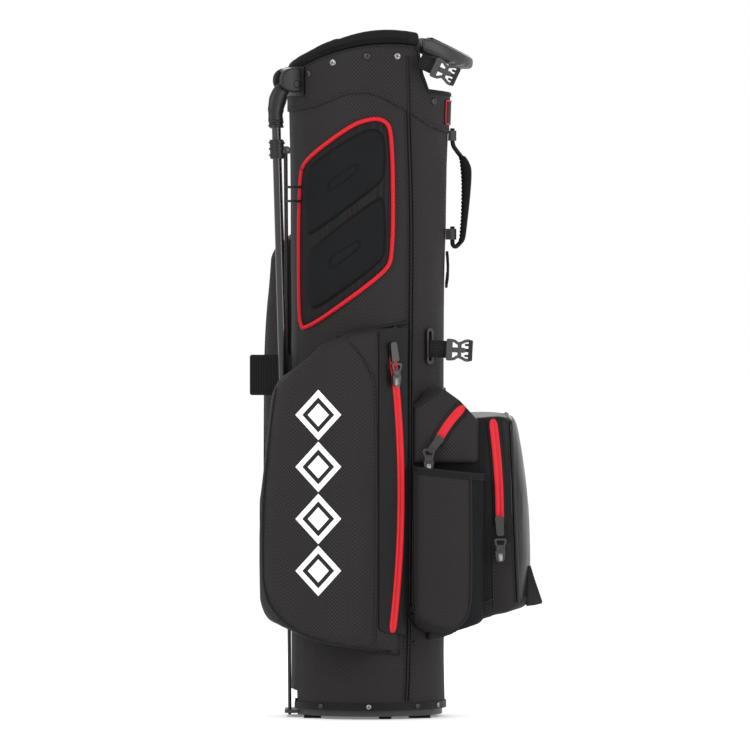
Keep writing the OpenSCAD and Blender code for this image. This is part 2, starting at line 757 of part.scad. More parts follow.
module grab_anchors() {
    anchor_z = [[739, 752], [612, 626]];
    placed() color([0.1, 0.1, 0.1]) difference() {
        for (z = anchor_z)
            upright(z[0], z[1]) polygon(rounded([[90, -10, 0], [anchor_x - 2, -9, 4], [anchor_x + 5, -5, 3],
                [anchor_x + 5, 5, 3], [anchor_x - 2, 9, 4], [90, 10, 0]]));
        body_form(0.2, 0);
        translate([anchor_x, 0, 600]) cylinder(h = 170, r = 3 + 2 * fit, $fn = 48);
    }
}

// A side-release buckle with its webbing, along +X from its root, lying in the XZ plane.
module strap_buckle(web, w) {
    body = 30;
    across(-1.5, 1.5) translate([0, -w / 2]) square([web, w]);
    across(-4.5, 4.5) difference() {
        polygon(rounded([[web - 4, -w / 2 - 2, 3], [web + body, -w / 2 + 1, 4], [web + body, w / 2 - 1, 4],
            [web - 4, w / 2 + 2, 3]]));
        translate([web + 8, -w / 2 + 4]) square([5, w - 8]);
        translate([web + body - 9, -3]) square([10, 6]);
    }
}

upper_root = [66, -96, 841];
upper_tilt = 25;
mid_root = [79, -68, 473];

module upper_buckle() {
    placed() color([0.1, 0.1, 0.1]) translate(upper_root) rotate([0, upper_tilt, 0]) strap_buckle(20, 20);
}
module mid_buckle() {
    placed() color([0.1, 0.1, 0.1]) translate(mid_root) rotate([0, 3, 0]) strap_buckle(22, 22);
}
module buckle_slot() {
    placed() color([0.3, 0.3, 0.3]) intersection() {
        body_skin(0.2, 3.5);
        across(-90, 0) difference() {
            polygon(rounded([[75.5, 453, 4], [84, 453, 4], [84, 499, 4], [75.5, 499, 4]]));
            polygon(rounded([[78, 457, 1.7], [81.5, 457, 1.7], [81.5, 495, 1.7], [78, 495, 1.7]]));
        }
    }
}

module leg_head_near() { leg_head(side_near); }
module leg_head_far() { leg_head(side_far); }
module leg_tube_near() { leg_tube(side_near); }
module leg_tube_far() { leg_tube(side_far); }
module leg_foot_near() { leg_foot(side_near); }
module leg_foot_far() { leg_foot(side_far); }
module leg_sleeve_near() { leg_sleeve(side_near); }
module leg_sleeve_far() { leg_sleeve(side_far); }
module rod_pin_near() { rod_pin_node(side_near); }
module rod_pin_far() { rod_pin_node(side_far); }
module rod_near() { rod(side_near); }
module rod_far() { rod(side_far); }

base_cup();
base_feet();
base_plate();
base_hinge_pin();
base_band();
base_screws();
body_shell();
stay_rods();
top_cuff();
cuff_collar();
divider_pads();
cuff_handle();
cuff_screws();
divider_long();
divider_cross();
seam_piping();
leg_bracket();
leg_pins();
leg_bumpers();
leg_head_near();
leg_head_far();
leg_tube_near();
leg_tube_far();
leg_foot_near();
leg_foot_far();
leg_sleeve_near();
leg_sleeve_far();
rod_pin_near();
rod_pin_far();
rod_near();
rod_far();
leg_strap();
near_pocket();
far_pocket();
near_zip_band();
far_zip_band();
near_zip_coil();
far_zip_coil();
near_slider();
far_slider();
near_pull();
far_pull();
ball_pocket();
ball_zip_tape();
ball_slider();
ball_pull();
valuables_pocket();
valuables_zip_tape();
valuables_slider();
valuables_pull();
bottle_pocket();
rain_flap();
hip_pad();
hip_pad_piping();
grab_handle();
grab_anchors();
upper_buckle();
mid_buckle();
buckle_slot();
label_patch();
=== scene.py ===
import math

import bmesh
import bpy
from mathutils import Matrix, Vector, noise
from mathutils.bvhtree import BVHTree


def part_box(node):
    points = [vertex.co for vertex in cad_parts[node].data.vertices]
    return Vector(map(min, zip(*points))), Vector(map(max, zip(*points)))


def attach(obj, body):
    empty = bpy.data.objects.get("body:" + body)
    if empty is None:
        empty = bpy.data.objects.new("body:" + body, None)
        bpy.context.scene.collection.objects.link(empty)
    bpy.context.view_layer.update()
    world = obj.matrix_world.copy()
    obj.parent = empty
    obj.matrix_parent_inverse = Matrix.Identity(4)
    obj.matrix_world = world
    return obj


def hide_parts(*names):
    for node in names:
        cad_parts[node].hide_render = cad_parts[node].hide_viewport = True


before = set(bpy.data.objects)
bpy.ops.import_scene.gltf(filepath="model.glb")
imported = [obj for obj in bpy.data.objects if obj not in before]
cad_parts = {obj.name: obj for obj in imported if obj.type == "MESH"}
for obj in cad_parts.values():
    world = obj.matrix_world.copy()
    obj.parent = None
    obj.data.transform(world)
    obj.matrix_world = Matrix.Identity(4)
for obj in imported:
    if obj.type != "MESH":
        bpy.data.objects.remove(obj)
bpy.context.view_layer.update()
MM = 0.001
NEAR, FAR = -1, 1
cup_low, cup_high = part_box("base_cup")
AXIS_X = (cup_low.x + cup_high.x) / 2


def at(x, y, z):
    """A point in the row frame, from millimetres about the body's axis."""
    return Vector((AXIS_X + x * MM, y * MM, z * MM))


def table(t, rows):
    """Straight-line value of a table at t."""
    if t <= rows[0][0]:
        return rows[0][1]
    for (a, va), (b, vb) in zip(rows, rows[1:]):
        if t <= b:
            return va + (vb - va) * (t - a) / (b - a)
    return rows[-1][1]


def body_radii(z):
    """Half widths along X and Y and the centre's X, as the CAD body has them."""
    rx = table(z, ((0, 99), (520, 98.5), (710, 101.6), (900, 106.5)))
    ry = table(z, ((0, 100), (520, 100), (900, 103.25)))
    return rx, ry, table(z, ((0, 0), (520, -0.5), (900, 1.5)))


def body_point(angle, z, out=0.0):
    rx, ry, cx = body_radii(z)
    return at(cx + (rx + out) * math.cos(angle), (ry + out) * math.sin(angle), z)


def body_angle(x, z, side):
    rx, ry, cx = body_radii(z)
    return side * math.acos(max(-1.0, min(1.0, (x - cx) / rx)))


def body_normal(angle, z):
    rx, ry, cx = body_radii(z)
    return Vector((math.cos(angle) / rx, math.sin(angle) / ry, 0)).normalized()


def seam_top(x):
    """Height of the cloth's top edge: an arch, then the notch under the lift handle."""
    x = max(-125.0, min(120.0, x))
    arch = 626 + math.sqrt(234**2 - (x - 28) ** 2)
    if x <= 62:
        return arch
    return table(x, ((62, 857.5), (68, 825), (77, 802), (120, 797)))


def collar_top(x):
    return max(
        675 + math.sqrt(205**2 - (x - 28) ** 2),
        table(x, ((-110, 836), (-100, 843.5), (-78, 856.5), (-45, 868.5)))
    )


def yoke_line(x):
    """Height of the lapped yoke seam."""
    return table(
        x, ((-104, 776), (-69, 781), (-28, 797), (0, 799), (22, 791.6), (44, 779), (53, 775), (80, 757),
            (107, 748))
    )


# ---- Meshes ----
def turns(count):
    """Angles evenly round a circle."""
    return [2 * math.pi * k / count for k in range(count)]


def upright(points):
    """Side-view points as vectors."""
    return [Vector((x, 0, z)) for x, z in points]


def level(points):
    """Points of a flat outline as vectors."""
    return [Vector((a, b, 0)) for a, b in points]


def squared(value, power):
    """A sine or cosine pushed outwards, which squares up a round section."""
    return math.copysign(abs(value) ** power, value)


def strip(half, low, high):
    """The section of a flat band."""
    return [(-half, low), (-half, high), (half, high), (half, low)]


class Shape:
    """Collects points and faces, with a flat cloth coordinate in metres for each point."""

    def __init__(self):
        self.points, self.faces, self.cloth = [], [], []

    def rows(self, rows, wrap=False, loop=False, cloth=None):
        """Quads between rows of points. wrap closes each row, and loop joins the last row to the first."""
        start, n, m = len(self.points), len(rows[0]), len(rows)
        for r, row in enumerate(rows):
            self.points.extend(row)
            for k, p in enumerate(row):
                self.cloth.append(cloth(r, k, p) if cloth else (p.x + p.y, p.z, 0))
        for r in range(m if loop else m - 1):
            for k in range(n if wrap else n - 1):
                up, right = (r + 1) % m, (k + 1) % n
                self.faces.append(
                    (start + r * n + k, start + r * n + right, start + up * n + right, start + up * n + k)
                )
        return start

    def cap(self, start, count, flip=False):
        ring = range(start, start + count)
        self.faces.append(tuple(reversed(ring)) if flip else tuple(ring))

    def solid(self, rows, cloth=None):
        """Rings joined into a closed form with flat ends."""
        start, n = self.rows(rows, wrap=True, cloth=cloth), len(rows[0])
        self.cap(start, n, flip=True)
        self.cap(start + (len(rows) - 1) * n, n)

    def make(self, name, material, body="bag", slot=None, smooth=True, hold=True):
        mesh = bpy.data.meshes.new(name)
        mesh.from_pydata([tuple(p) for p in self.points], [], self.faces)
        mesh.validate()
        obj = bpy.data.objects.new(name, mesh)
        bpy.context.scene.collection.objects.link(obj)
        mesh.materials.append(material)
        mesh.polygons.foreach_set("use_smooth", [smooth] * len(mesh.polygons))
        set_cloth(obj, self.cloth)
        recalc(obj)
        if hold:
            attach(obj, body)
        return obj


def set_cloth(obj, values):
    mesh = obj.data
    if "cloth" in mesh.attributes:
        mesh.attributes.remove(mesh.attributes["cloth"])
    layer = mesh.attributes.new("cloth", "FLOAT_VECTOR", "POINT")
    layer.data.foreach_set("vector", [c for v in values for c in v])


def recalc(obj):
    """Faces outwards."""
    work = bmesh.new()
    work.from_mesh(obj.data)
    bmesh.ops.recalc_face_normals(work, faces=work.faces)
    work.to_mesh(obj.data)
    work.free()


def curve_through(points, step, closed=False):
    """A smooth line through points, with points about step apart."""
    pts = [Vector(p) for p in points]
    n = len(pts)
    out = []
    spans = n if closed else n - 1
    for i in range(spans):
        if closed:
            a, b, c, d = (pts[(i + k - 1) % n] for k in range(4))
        else:
            a, b, c, d = pts[max(i - 1, 0)], pts[i], pts[i + 1], pts[min(i + 2, n - 1)]
        pieces = max(1, int((c - b).length / step + 0.5))
        for k in range(pieces):
            t = k / pieces
            square, cube = 2 * a - 5 * b + 4 * c - d, 3 * b - a - 3 * c + d
            out.append(0.5 * (2 * b + (c - a) * t + square * t * t + cube * t**3))
    if not closed:
        out.append(pts[-1])
    return out


def soften(points, rounds=3, closed=False):
    """Cuts the corners of a line again and again."""
    pts = [Vector(p) for p in points]
    for _ in range(rounds):
        n = len(pts)
        new = [] if closed else [pts[0]]
        for i in range(n if closed else n - 1):
            a, b = pts[i], pts[(i + 1) % n]
            new += [a.lerp(b, 0.25), a.lerp(b, 0.75)]
        if not closed:
            new.append(pts[-1])
        pts = new
    return pts


def ease(outline, radius):
    """A closed side-view outline with its corners cut back by a radius, then rounded."""
    points = upright(outline)
    cut = []
    for i, p in enumerate(points):
        for q in (points[i - 1], points[(i + 1) % len(points)]):
            cut.append(p + (q - p).normalized() * min(radius, (q - p).length / 2))
    return [(p.x, p.z) for p in soften(cut, 2, True)]


def resample(points, count, closed=False):
    """The same line as count points, evenly spaced."""
    pts = [Vector(p) for p in points]
    if closed:
        pts.append(pts[0])
    run = [0.0]
    for a, b in zip(pts, pts[1:]):
        run.append(run[-1] + (b - a).length)
    out, k = [], 0
    parts = count if closed else count - 1
    for i in range(count):
        want = run[-1] * i / parts
        while k < len(run) - 2 and run[k + 1] < want:
            k += 1
        span = run[k + 1] - run[k] or 1.0
        out.append(pts[k].lerp(pts[k + 1], max(0.0, min(1.0, (want - run[k]) / span))))
    return out


def length_of(points):
    return sum((b - a).length for a, b in zip(points, points[1:]))


def line_frames(path, ups=None, loop=False):
    """Side and up directions at each point of a line."""
    n = len(path)
    tangents = []
    for i in range(n):
        a = path[(i - 1) % n] if loop else path[max(i - 1, 0)]
        b = path[(i + 1) % n] if loop else path[min(i + 1, n - 1)]
        tangents.append((b - a).normalized())
    out, last = [], None
    for i, t in enumerate(tangents):
        up = ups[i] if ups else (last if last is not None else t.orthogonal())
        side = t.cross(up).normalized()
        up = side.cross(t).normalized()
        last = up
        out.append((t, side, up))
    return out


def sweep(shape, path, profile, ups=None, loop=False, closed_profile=True, ends=True, scale=None):
    """Carries a profile of (across, up) millimetres along a line."""
    rows = []
    for i, (p, (t, side, up)) in enumerate(zip(path, line_frames(path, ups, loop))):
        k = scale[i] if scale else 1.0
        rows.append([p + (side * a + up * h) * MM * k for a, h in profile])
    runs = [0.0]
    for a, b in zip(path, path[1:]):
        runs.append(runs[-1] + (b - a).length)
    across = [0.0]
    for a, b in zip(profile, profile[1:]):
        across.append(across[-1] + math.dist(a, b) * MM)
    start = shape.rows(rows, wrap=closed_profile, loop=loop, cloth=lambda r, k, p: (across[k], runs[r], 0))
    if ends and closed_profile and not loop:
        shape.cap(start, len(profile), flip=True)
        shape.cap(start + (len(rows) - 1) * len(profile), len(profile))
    return start


def ring_profile(radius, sides=10, flat=1.0, lift=0.0):
    return [(radius * math.cos(a), lift + flat * radius * math.sin(a)) for a in turns(sides)]


def tube(shape, path, radius, sides=12, ups=None, loop=False, flat=1.0, lift=0.0, scale=None):
    return sweep(shape, path, ring_profile(radius, sides, flat, lift), ups=ups, loop=loop, scale=scale)


def stitches(shape, path, ups, pitch=4.4, length=2.9, radius=0.42, lift=0.25, shift=0.0):
    """Short thread bumps along a line; shift moves the row sideways."""
    line = resample(path, max(2, int(length_of(path) / (pitch * MM)) + 1))
    hints = resample(ups, len(line)) if len(ups) != len(line) else ups
    for p, (t, side, up) in zip(line, line_frames(line, [u.normalized() for u in hints])):
        middle = p + side * shift * MM + up * lift * MM
        ends = [middle + t * MM * length * k for k in (-0.5, -0.32, 0.32, 0.5)]
        sweep(shape, ends, ring_profile(radius, 6), ups=[up] * 4, scale=[0.25, 1, 1, 0.25])


def slab(shape, outline, place, low, high):
    """A flat outline given thickness; place(a, b, depth) gives each point."""
    shape.solid([[place(a, b, depth) for a, b in outline] for depth in (low, high)])


def rounded_box(width, height, radius, corner=5, shift=(0, 0)):
    """Points of a rounded rectangle about its middle."""
    out = []
    for cx, cy, first in ((1, 1, 0), (-1, 1, 90), (-1, -1, 180), (1, -1, 270)):
        for k in range(corner + 1):
            a = math.radians(first + 90 * k / corner)
            out.append(
                (
                    shift[0] + cx * (width / 2 - radius) + radius * math.cos(a),
                    shift[1] + cy * (height / 2 - radius) + radius * math.sin(a),
                )
            )
    return out


# ---- Laying pieces on others ----
def tree_of(obj):
    return BVHTree.FromObject(obj, bpy.context.evaluated_depsgraph_get())


def cast(trees, x, z, side, y_from=330):
    """Where a line from outside meets the nearest piece, in side view."""
    start = at(x, side * y_from, z)
    best = None
    for tree in trees:
        place, normal, _, distance = tree.ray_cast(start, Vector((0, -side, 0)))
        if place is not None and (best is None or distance < best[2]):
            best = (place, normal if normal.y * side > 0 else -normal, distance)
    if best is None:
        z_angle = body_angle(x, z, side)
        return body_point(z_angle, z), body_normal(z_angle, z)
    return best[0], best[1]


def drape(trees, points, side, step=4.0, closed=False):
    """A side-view line laid on pieces: its points and the directions out of the surface."""
    line = curve_through(upright(points), step, closed)
    hits = [cast(trees, p.x, p.z, side) for p in line]
    path, ups = [place for place, _ in hits], [normal for _, normal in hits]
    for _ in range(2):
        n = len(path)
        last = n if closed else n - 1
        first = 0 if closed else 1
        path = [
            path[i] if i < first or i >= last else (path[i - 1] + path[i] * 2 + path[(i + 1) % n]) / 4
            for i in range(n)
        ]
        ups = [
            ups[i] if i < first or i >= last else (ups[i - 1] + ups[i] * 2 + ups[(i + 1) % n]).normalized()
            for i in range(n)
        ]
    return path, ups


def patch(shape, trees, outline, side, rings, count=72, corner_rounds=3):
    """A raised patch over a side-view outline; rings gives (scale, lift) from its edge to its middle."""
    pts = resample(soften(upright(outline), corner_rounds, True), count, True)
    middle = sum(pts, Vector()) / len(pts)
    rows = []
    for scale, lift in rings:
        row = []
        for p in pts:
            q = middle + (p - middle) * scale
            place, normal = cast(trees, q.x, q.z, side)
            row.append(place + normal * lift * MM)
        rows.append(row)
    start = shape.rows(rows, wrap=True, cloth=lambda r, k, p: (p.x, p.z, 0))
    shape.cap(start + (len(rows) - 1) * count, count)


# ---- Materials ----
class Finish:
    """A node material."""

    def __init__(self, name, rough=0.6, metallic=0.0, **sockets):
        self.material = bpy.data.materials.new(name)
        self.material.use_nodes = True
        self.tree = self.material.node_tree
        self.shader = self.tree.nodes["Principled BSDF"]
        self.shader.inputs["Roughness"].default_value = rough
        self.shader.inputs["Metallic"].default_value = metallic
        for key, value in sockets.items():
            self.shader.inputs[key.replace("_", " ")].default_value = value

    def add(self, kind, inputs=(), **settings):
        node = self.tree.nodes.new(kind)
        for key, value in settings.items():
            setattr(node, key, value)
        for key, value in dict(inputs).items():
            if isinstance(value, bpy.types.NodeSocket):
                self.tree.links.new(value, node.inputs[key])
            else:
                node.inputs[key].default_value = value
        return node

    def place(self, flat=True):
        """Cloth coordinates in metres, or the piece's own space."""
        if flat:
            return self.add("ShaderNodeAttribute", attribute_name="cloth").outputs["Vector"]
        return self.add("ShaderNodeTexCoord").outputs["Object"]

    def scaled(self, place, by):
        return self.add("ShaderNodeVectorMath", {0: place, 1: by}, operation="MULTIPLY").outputs[0]

    def lattice(self, place, pitch, tall=1.0, inner=0.10, outer=0.30):
        """A staggered lattice of soft dots, 1 in each dot."""
        p = self.scaled(place, (1 / (pitch * MM), 1 / (pitch * tall * MM), 0))
        found = []
        for shift in (0.0, 0.5):
            moved = self.add("ShaderNodeVectorMath", {0: p, 1: (shift, shift, 0)}, operation="ADD").outputs[0]
            cell = self.add("ShaderNodeVectorMath", {0: moved}, operation="FRACTION").outputs[0]
            middle = self.add(
                "ShaderNodeVectorMath", {0: cell, 1: (0.5, 0.5, 0)}, operation="SUBTRACT"
            ).outputs[0]
            found.append(self.add("ShaderNodeVectorMath", {0: middle}, operation="LENGTH").outputs["Value"])
        near = self.add("ShaderNodeMath", {0: found[0], 1: found[1]}, operation="MINIMUM").outputs[0]
        return self.add(
            "ShaderNodeMapRange",
            {"Value": near, "From Min": inner, "From Max": outer, "To Min": 1.0, "To Max": 0.0}
        ).outputs[0]

    def noise(self, place, scale, detail=3.0):
        return self.add(
            "ShaderNodeTexNoise", {"Vector": place, "Scale": scale, "Detail": detail}
        ).outputs["Fac"]

    def wave(self, place, scale, direction="Y", profile="SIN"):
        return self.add(
            "ShaderNodeTexWave", {"Vector": place, "Scale": scale}, bands_direction=direction,
            wave_profile=profile
        ).outputs["Fac"]

    def math(self, a, b, operation="ADD"):
        return self.add("ShaderNodeMath", {0: a, 1: b}, operation=operation).outputs[0]

    def mix(self, fac, low, high):
        """A colour between low at 0 and high at 1."""
        node = self.add("ShaderNodeMix", data_type="RGBA")
        self.tree.links.new(fac, node.inputs[0])
        for socket, value in ((node.inputs[6], low), (node.inputs[7], high)):
            if isinstance(value, bpy.types.NodeSocket):
                self.tree.links.new(value, socket)
            else:
                socket.default_value = (*value, 1)
        return node.outputs[2]

    def colour(self, socket):
        self.tree.links.new(socket, self.shader.inputs["Base Color"])

    def roughness(self, fac, low, high):
        out = self.add("ShaderNodeMapRange", {"Value": fac, "To Min": low, "To Max": high}).outputs[0]
        self.tree.links.new(out, self.shader.inputs["Roughness"])

    def bump(self, height, distance, strength=1.0, over=None):
        """Bumps as high as distance in millimetres."""
        inputs = {"Height": height, "Distance": distance * MM, "Strength": strength}
        if over is not None:
            inputs["Normal"] = over
        out = self.add("ShaderNodeBump", inputs).outputs[0]
        self.tree.links.new(out, self.shader.inputs["Normal"])
        return out


def shade(colour, factor):
    return tuple(c * factor for c in colour)


def ripstop(name, colour, pitch=4.3, flat=True):
    """Charcoal cloth with a fine staggered dot."""
    f = Finish(name, rough=0.78, Specular_IOR_Level=0.18)
    place = f.place(flat)
    dots = f.lattice(place, pitch, 1.15, 0.12, 0.36)
    tone = f.mix(f.noise(f.place(False), 9.0), shade(colour, 0.80), shade(colour, 1.22))
    f.colour(f.mix(dots, tone, shade(colour, 0.5)))
    f.roughness(dots, 0.66, 0.9)
    soft = f.bump(f.noise(f.place(False), 26.0, 2.0), 1.6, 0.35)
    f.bump(dots, -0.35, 0.8, over=soft)
    return f.material


def woven(name, colour, pitch, rough=0.8, depth=0.25, flat=True):
    """Plain woven tape or liner: ribs along and across."""
    f = Finish(name, rough=rough, Specular_IOR_Level=0.15)
    place = f.scaled(f.place(flat), (1 / (pitch * MM),) * 3)
    ribs = f.math(f.wave(place, 0.314, "Y"), f.wave(place, 0.157, "X"), "MULTIPLY")
    f.colour(f.mix(ribs, shade(colour, 0.55), shade(colour, 1.35)))
    f.bump(ribs, depth, 0.9)
    return f.material


def braid(name, colour, pitch=2.6):
    """A twisted, tightly woven piping."""
    f = Finish(name, rough=0.6, Specular_IOR_Level=0.2)
    place = f.place()
    slant = f.add(
        "ShaderNodeMapping",
        {"Vector": place, "Rotation": (0, 0, math.radians(38)), "Scale": (1 / (pitch * MM),) * 3}
    ).outputs[0]
    rib = f.wave(slant, 0.314, "Y")
    f.colour(f.mix(rib, shade(colour, 0.62), shade(colour, 1.15)))
    f.bump(rib, 0.4, 0.9)
    return f.material


def coated(name, colour, rough, pitch=1.1):
    """Coated zipper tape with fine teeth across it."""
    f = Finish(name, rough=rough, Specular_IOR_Level=0.2)
    place = f.scaled(f.place(), (1 / (pitch * MM),) * 3)
    teeth = f.wave(place, 0.314, "Y")
    f.colour(f.mix(f.noise(f.place(False), 60.0), shade(colour, 0.88), shade(colour, 1.1)))
    f.bump(teeth, 0.10, 0.6)
    f.roughness(f.noise(f.place(False), 120.0), rough - 0.06, rough + 0.08)
    return f.material


def laminate(name, colour, rough, ripple=0.5, coat=0.0, spec=0.1):
    """Smooth welded sheet with soft creases."""
    f = Finish(name, rough=rough, Coat_Weight=coat, Coat_Roughness=0.18, Specular_IOR_Level=spec)
    place = f.place(False)
    f.colour(f.mix(f.noise(place, 14.0), shade(colour, 0.8), shade(colour, 1.25)))
    f.roughness(f.noise(place, 34.0), rough - 0.07, rough + 0.10)
    stretched = f.scaled(place, (34.0, 34.0, 9.0))
    folds = f.bump(f.noise(stretched, 1.0, 2.0), ripple * 2.2, 0.5)
    f.bump(f.noise(place, 900.0, 2.0), 0.06, 0.5, over=folds)
    return f.material


def foam(name, colour, scale=700.0, rough=0.72):
    """Neoprene or rubber with a fine grain."""
    f = Finish(name, rough=rough, Specular_IOR_Level=0.08)
    place = f.place(False)
    f.colour(f.mix(f.noise(place, 22.0), shade(colour, 0.82), shade(colour, 1.2)))
    f.bump(f.noise(place, scale, 4.0), 0.18, 0.6)
    return f.material


def air_mesh(name, colour):
    """Padded mesh: a net of small holes."""
    f = Finish(name, rough=0.85, Specular_IOR_Level=0.12)
    holes = f.lattice(f.place(), 3.4, 0.8, 0.14, 0.34)
    f.colour(f.mix(holes, colour, shade(colour, 0.25)))
    f.bump(holes, -0.8, 0.9)
    return f.material


def moulded(name, colour, rough, grain=0.05):
    """Moulded nylon with a fine spark texture."""
    f = Finish(name, rough=rough, Specular_IOR_Level=0.3)
    place = f.place(False)
    f.colour(f.mix(f.noise(place, 40.0), shade(colour, 0.88), shade(colour, 1.14)))
    f.roughness(f.noise(place, 90.0), rough - 0.06, rough + 0.06)
    f.bump(f.noise(place, 1400.0, 2.0), grain, 0.5)
    return f.material


def metal(name, colour, rough, metallic=1.0, brushed=0.0):
    f = Finish(name, rough=rough, metallic=metallic, Anisotropic=brushed)
    place = f.place(False)
    f.colour(f.mix(f.noise(place, 55.0), shade(colour, 0.85), shade(colour, 1.1)))
    f.roughness(f.noise(place, 160.0), rough - 0.05, rough + 0.10)
    return f.material


def lacquer(name, colour):
    """Gloss black over a metal tube."""
    f = Finish(name, rough=0.25, Coat_Weight=0.5, Coat_Roughness=0.06, Specular_IOR_Level=0.4)
    place = f.place(False)
    f.colour(f.mix(f.noise(place, 20.0), shade(colour, 0.8), shade(colour, 1.2)))
    f.bump(f.noise(place, 60.0, 1.0), 0.05, 0.3)
    return f.material


CHARCOAL = (0.0195, 0.0167, 0.0172)
FABRIC = ripstop("body_ripstop", CHARCOAL)
PANEL = ripstop("panel_ripstop", shade(CHARCOAL, 0.95), 4.0)
LINER = woven("liner_cloth", (0.010, 0.010, 0.0105), 1.6, flat=False)
WEB = woven("webbing", (0.010, 0.010, 0.0105), 1.5)
THREAD = woven("thread", (0.020, 0.019, 0.020), 0.9)
PALE_THREAD = woven("pale_thread", (0.040, 0.037, 0.037), 0.9)
RED_BRAID = braid("red_braid", (0.56, 0.008, 0.018))
BLACK_BRAID = braid("black_braid", (0.009, 0.009, 0.0095), 2.2)
RED_ZIP = coated("red_zip", (0.53, 0.010, 0.018), 0.42)
TPU = laminate("black_laminate", (0.0085, 0.0085, 0.0092), 0.44, 0.3)
GLOSS = laminate("gloss_panel", (0.0055, 0.0055, 0.006), 0.30, 1.8, 0.05, 0.22)
NEOPRENE = foam("neoprene", (0.0072, 0.0076, 0.0086))
PAD_CLOTH = woven("pad_cloth", (0.0125, 0.0108, 0.0112), 1.2, flat=False)
RUBBER = foam("rubber", (0.0045, 0.0045, 0.0047), 500.0, 0.6)
MESH = air_mesh("air_mesh", (0.014, 0.014, 0.015))
BLACK = moulded("nylon_black", (0.009, 0.009, 0.009), 0.42)
GREY = moulded("nylon_grey", (0.024, 0.024, 0.0235), 0.42)
BASE_GREY = moulded("base_nylon", (0.026, 0.026, 0.026), 0.46)
BUCKLE = moulded("buckle_acetal", (0.040, 0.040, 0.039), 0.30, 0.02)
LEG = lacquer("leg_lacquer", (0.006, 0.006, 0.006))
WIRE = metal("coated_wire", (0.022, 0.022, 0.022), 0.45, 0.4)
STEEL = metal("steel", (0.27, 0.267, 0.263), 0.34, 1.0, 0.3)
GUNMETAL = metal("gunmetal", (0.055, 0.054, 0.053), 0.34, 0.85)
ROD = moulded("fibre_rod", (0.42, 0.40, 0.32), 0.5)
WHITE = coated("white_print", (0.80, 0.80, 0.80), 0.5)
SILVER = metal("tag_insert", (0.26, 0.26, 0.255), 0.40, 0.7)


# ---- Cloth simulation ----
CLOTH_FRAMES = 20
CLOTH_FEEL = {
    "quality": 5,
    "mass": 0.3,
    "tension_stiffness": 25,
    "compression_stiffness": 25,
    "shear_stiffness": 12,
    "bending_stiffness": 3,
    "air_damping": 3,
}


def fill_out(obj, held, pressure=4.0, cap=6.0, voxel=6.0):
    """Lets air fill a stuffed piece: remeshed, blown up as cloth, and capped in how far points move."""
    scene = bpy.context.scene
    bpy.context.view_layer.objects.active = obj
    remesh = obj.modifiers.new("Remesh", "REMESH")
    remesh.mode = "VOXEL"
    remesh.voxel_size = voxel * MM
    apply_modifiers(obj)
    before = [v.co.copy() for v in obj.data.vertices]
    group = obj.vertex_groups.new(name="held")
    group.add([v.index for v in obj.data.vertices if held(v.co)], 1.0, "REPLACE")
    cloth = obj.modifiers.new("Cloth", "CLOTH")
    for key, value in CLOTH_FEEL.items():
        setattr(cloth.settings, key, value)
    cloth.settings.use_pressure = True
    cloth.settings.uniform_pressure_force = pressure
    cloth.settings.vertex_group_mass = group.name
    cloth.settings.effector_weights.gravity = 0
    cloth.collision_settings.use_collision = False
    cloth.point_cache.frame_start = 1
    cloth.point_cache.frame_end = CLOTH_FRAMES
    for number in range(1, CLOTH_FRAMES + 1):
        scene.frame_set(number)
    after = obj.evaluated_get(bpy.context.evaluated_depsgraph_get()).data
    moved = [v.co.copy() for v in after.vertices]
    obj.modifiers.remove(cloth)
    scene.frame_set(1)
    for vertex, old, new in zip(obj.data.vertices, before, moved):
        step = new - old
        if step.length > cap * MM:
            step = step.normalized() * cap * MM
        vertex.co = old + step
    obj.vertex_groups.clear()


def apply_modifiers(obj):
    graph = bpy.context.evaluated_depsgraph_get()
    mesh = bpy.data.meshes.new_from_object(obj.evaluated_get(graph))
    obj.modifiers.clear()
    obj.data = mesh
    mesh.polygons.foreach_set("use_smooth", [True] * len(mesh.polygons))


def smooth_once(obj):
    """One subdivision, with the cloth coordinate kept."""
    mod = obj.modifiers.new("Smooth", "SUBSURF")
    mod.levels = mod.render_levels = 1


def crumple(obj, amount, scale, squash_z=0.45, seed=0.0, held=None):
    """Soft uneven folds along the surface's own direction."""
    for vertex, normal in [(v, v.normal.copy()) for v in obj.data.vertices]:
        if held and held(vertex.co):
            continue
        p = vertex.co
        n = noise.noise(Vector((p.x * scale + seed, p.y * scale, p.z * scale * squash_z)))
        m = noise.noise(Vector((p.x * scale * 2.7 + seed, p.y * scale * 2.7, p.z * scale * 1.4)))
        vertex.co = p + normal * (n * 0.75 + m * 0.25) * amount * MM


def bevelled(obj, width):
    bevel = obj.modifiers.new("Bevel", "BEVEL")
    bevel.width, bevel.segments, bevel.limit_method = width * MM, 2, "ANGLE"
    return bevel


def calm(obj, chosen, rounds):
    """Evens out the heights of a soft piece where chosen."""
    vertices = obj.data.vertices
    around = {v.index: [] for v in vertices if chosen(v.co)}
    for edge in obj.data.edges:
        a, b = edge.vertices
        if a in around:
            around[a].append(b)
        if b in around:
            around[b].append(a)
    for _ in range(rounds):
        heights = {i: sum(vertices[j].co.z for j in others) / len(others) for i, others in around.items()}
        for i, height in heights.items():
            vertices[i].co.z = height


# ---- Body cloth ----
RIM_HEIGHT = 840


def ring_rows(low, high, out, count, steps):
    """Rows round the body from height low(x) to high(x), at a distance from its surface."""
    rows = []
    rx, _, cx = body_radii(RIM_HEIGHT)
    for angle in turns(count):
        x = cx + rx * math.cos(angle)
        z0, z1 = low(x), high(x)
        rows.append([body_point(angle, z0 + (z1 - z0) * s, out) for s in steps])
    return rows


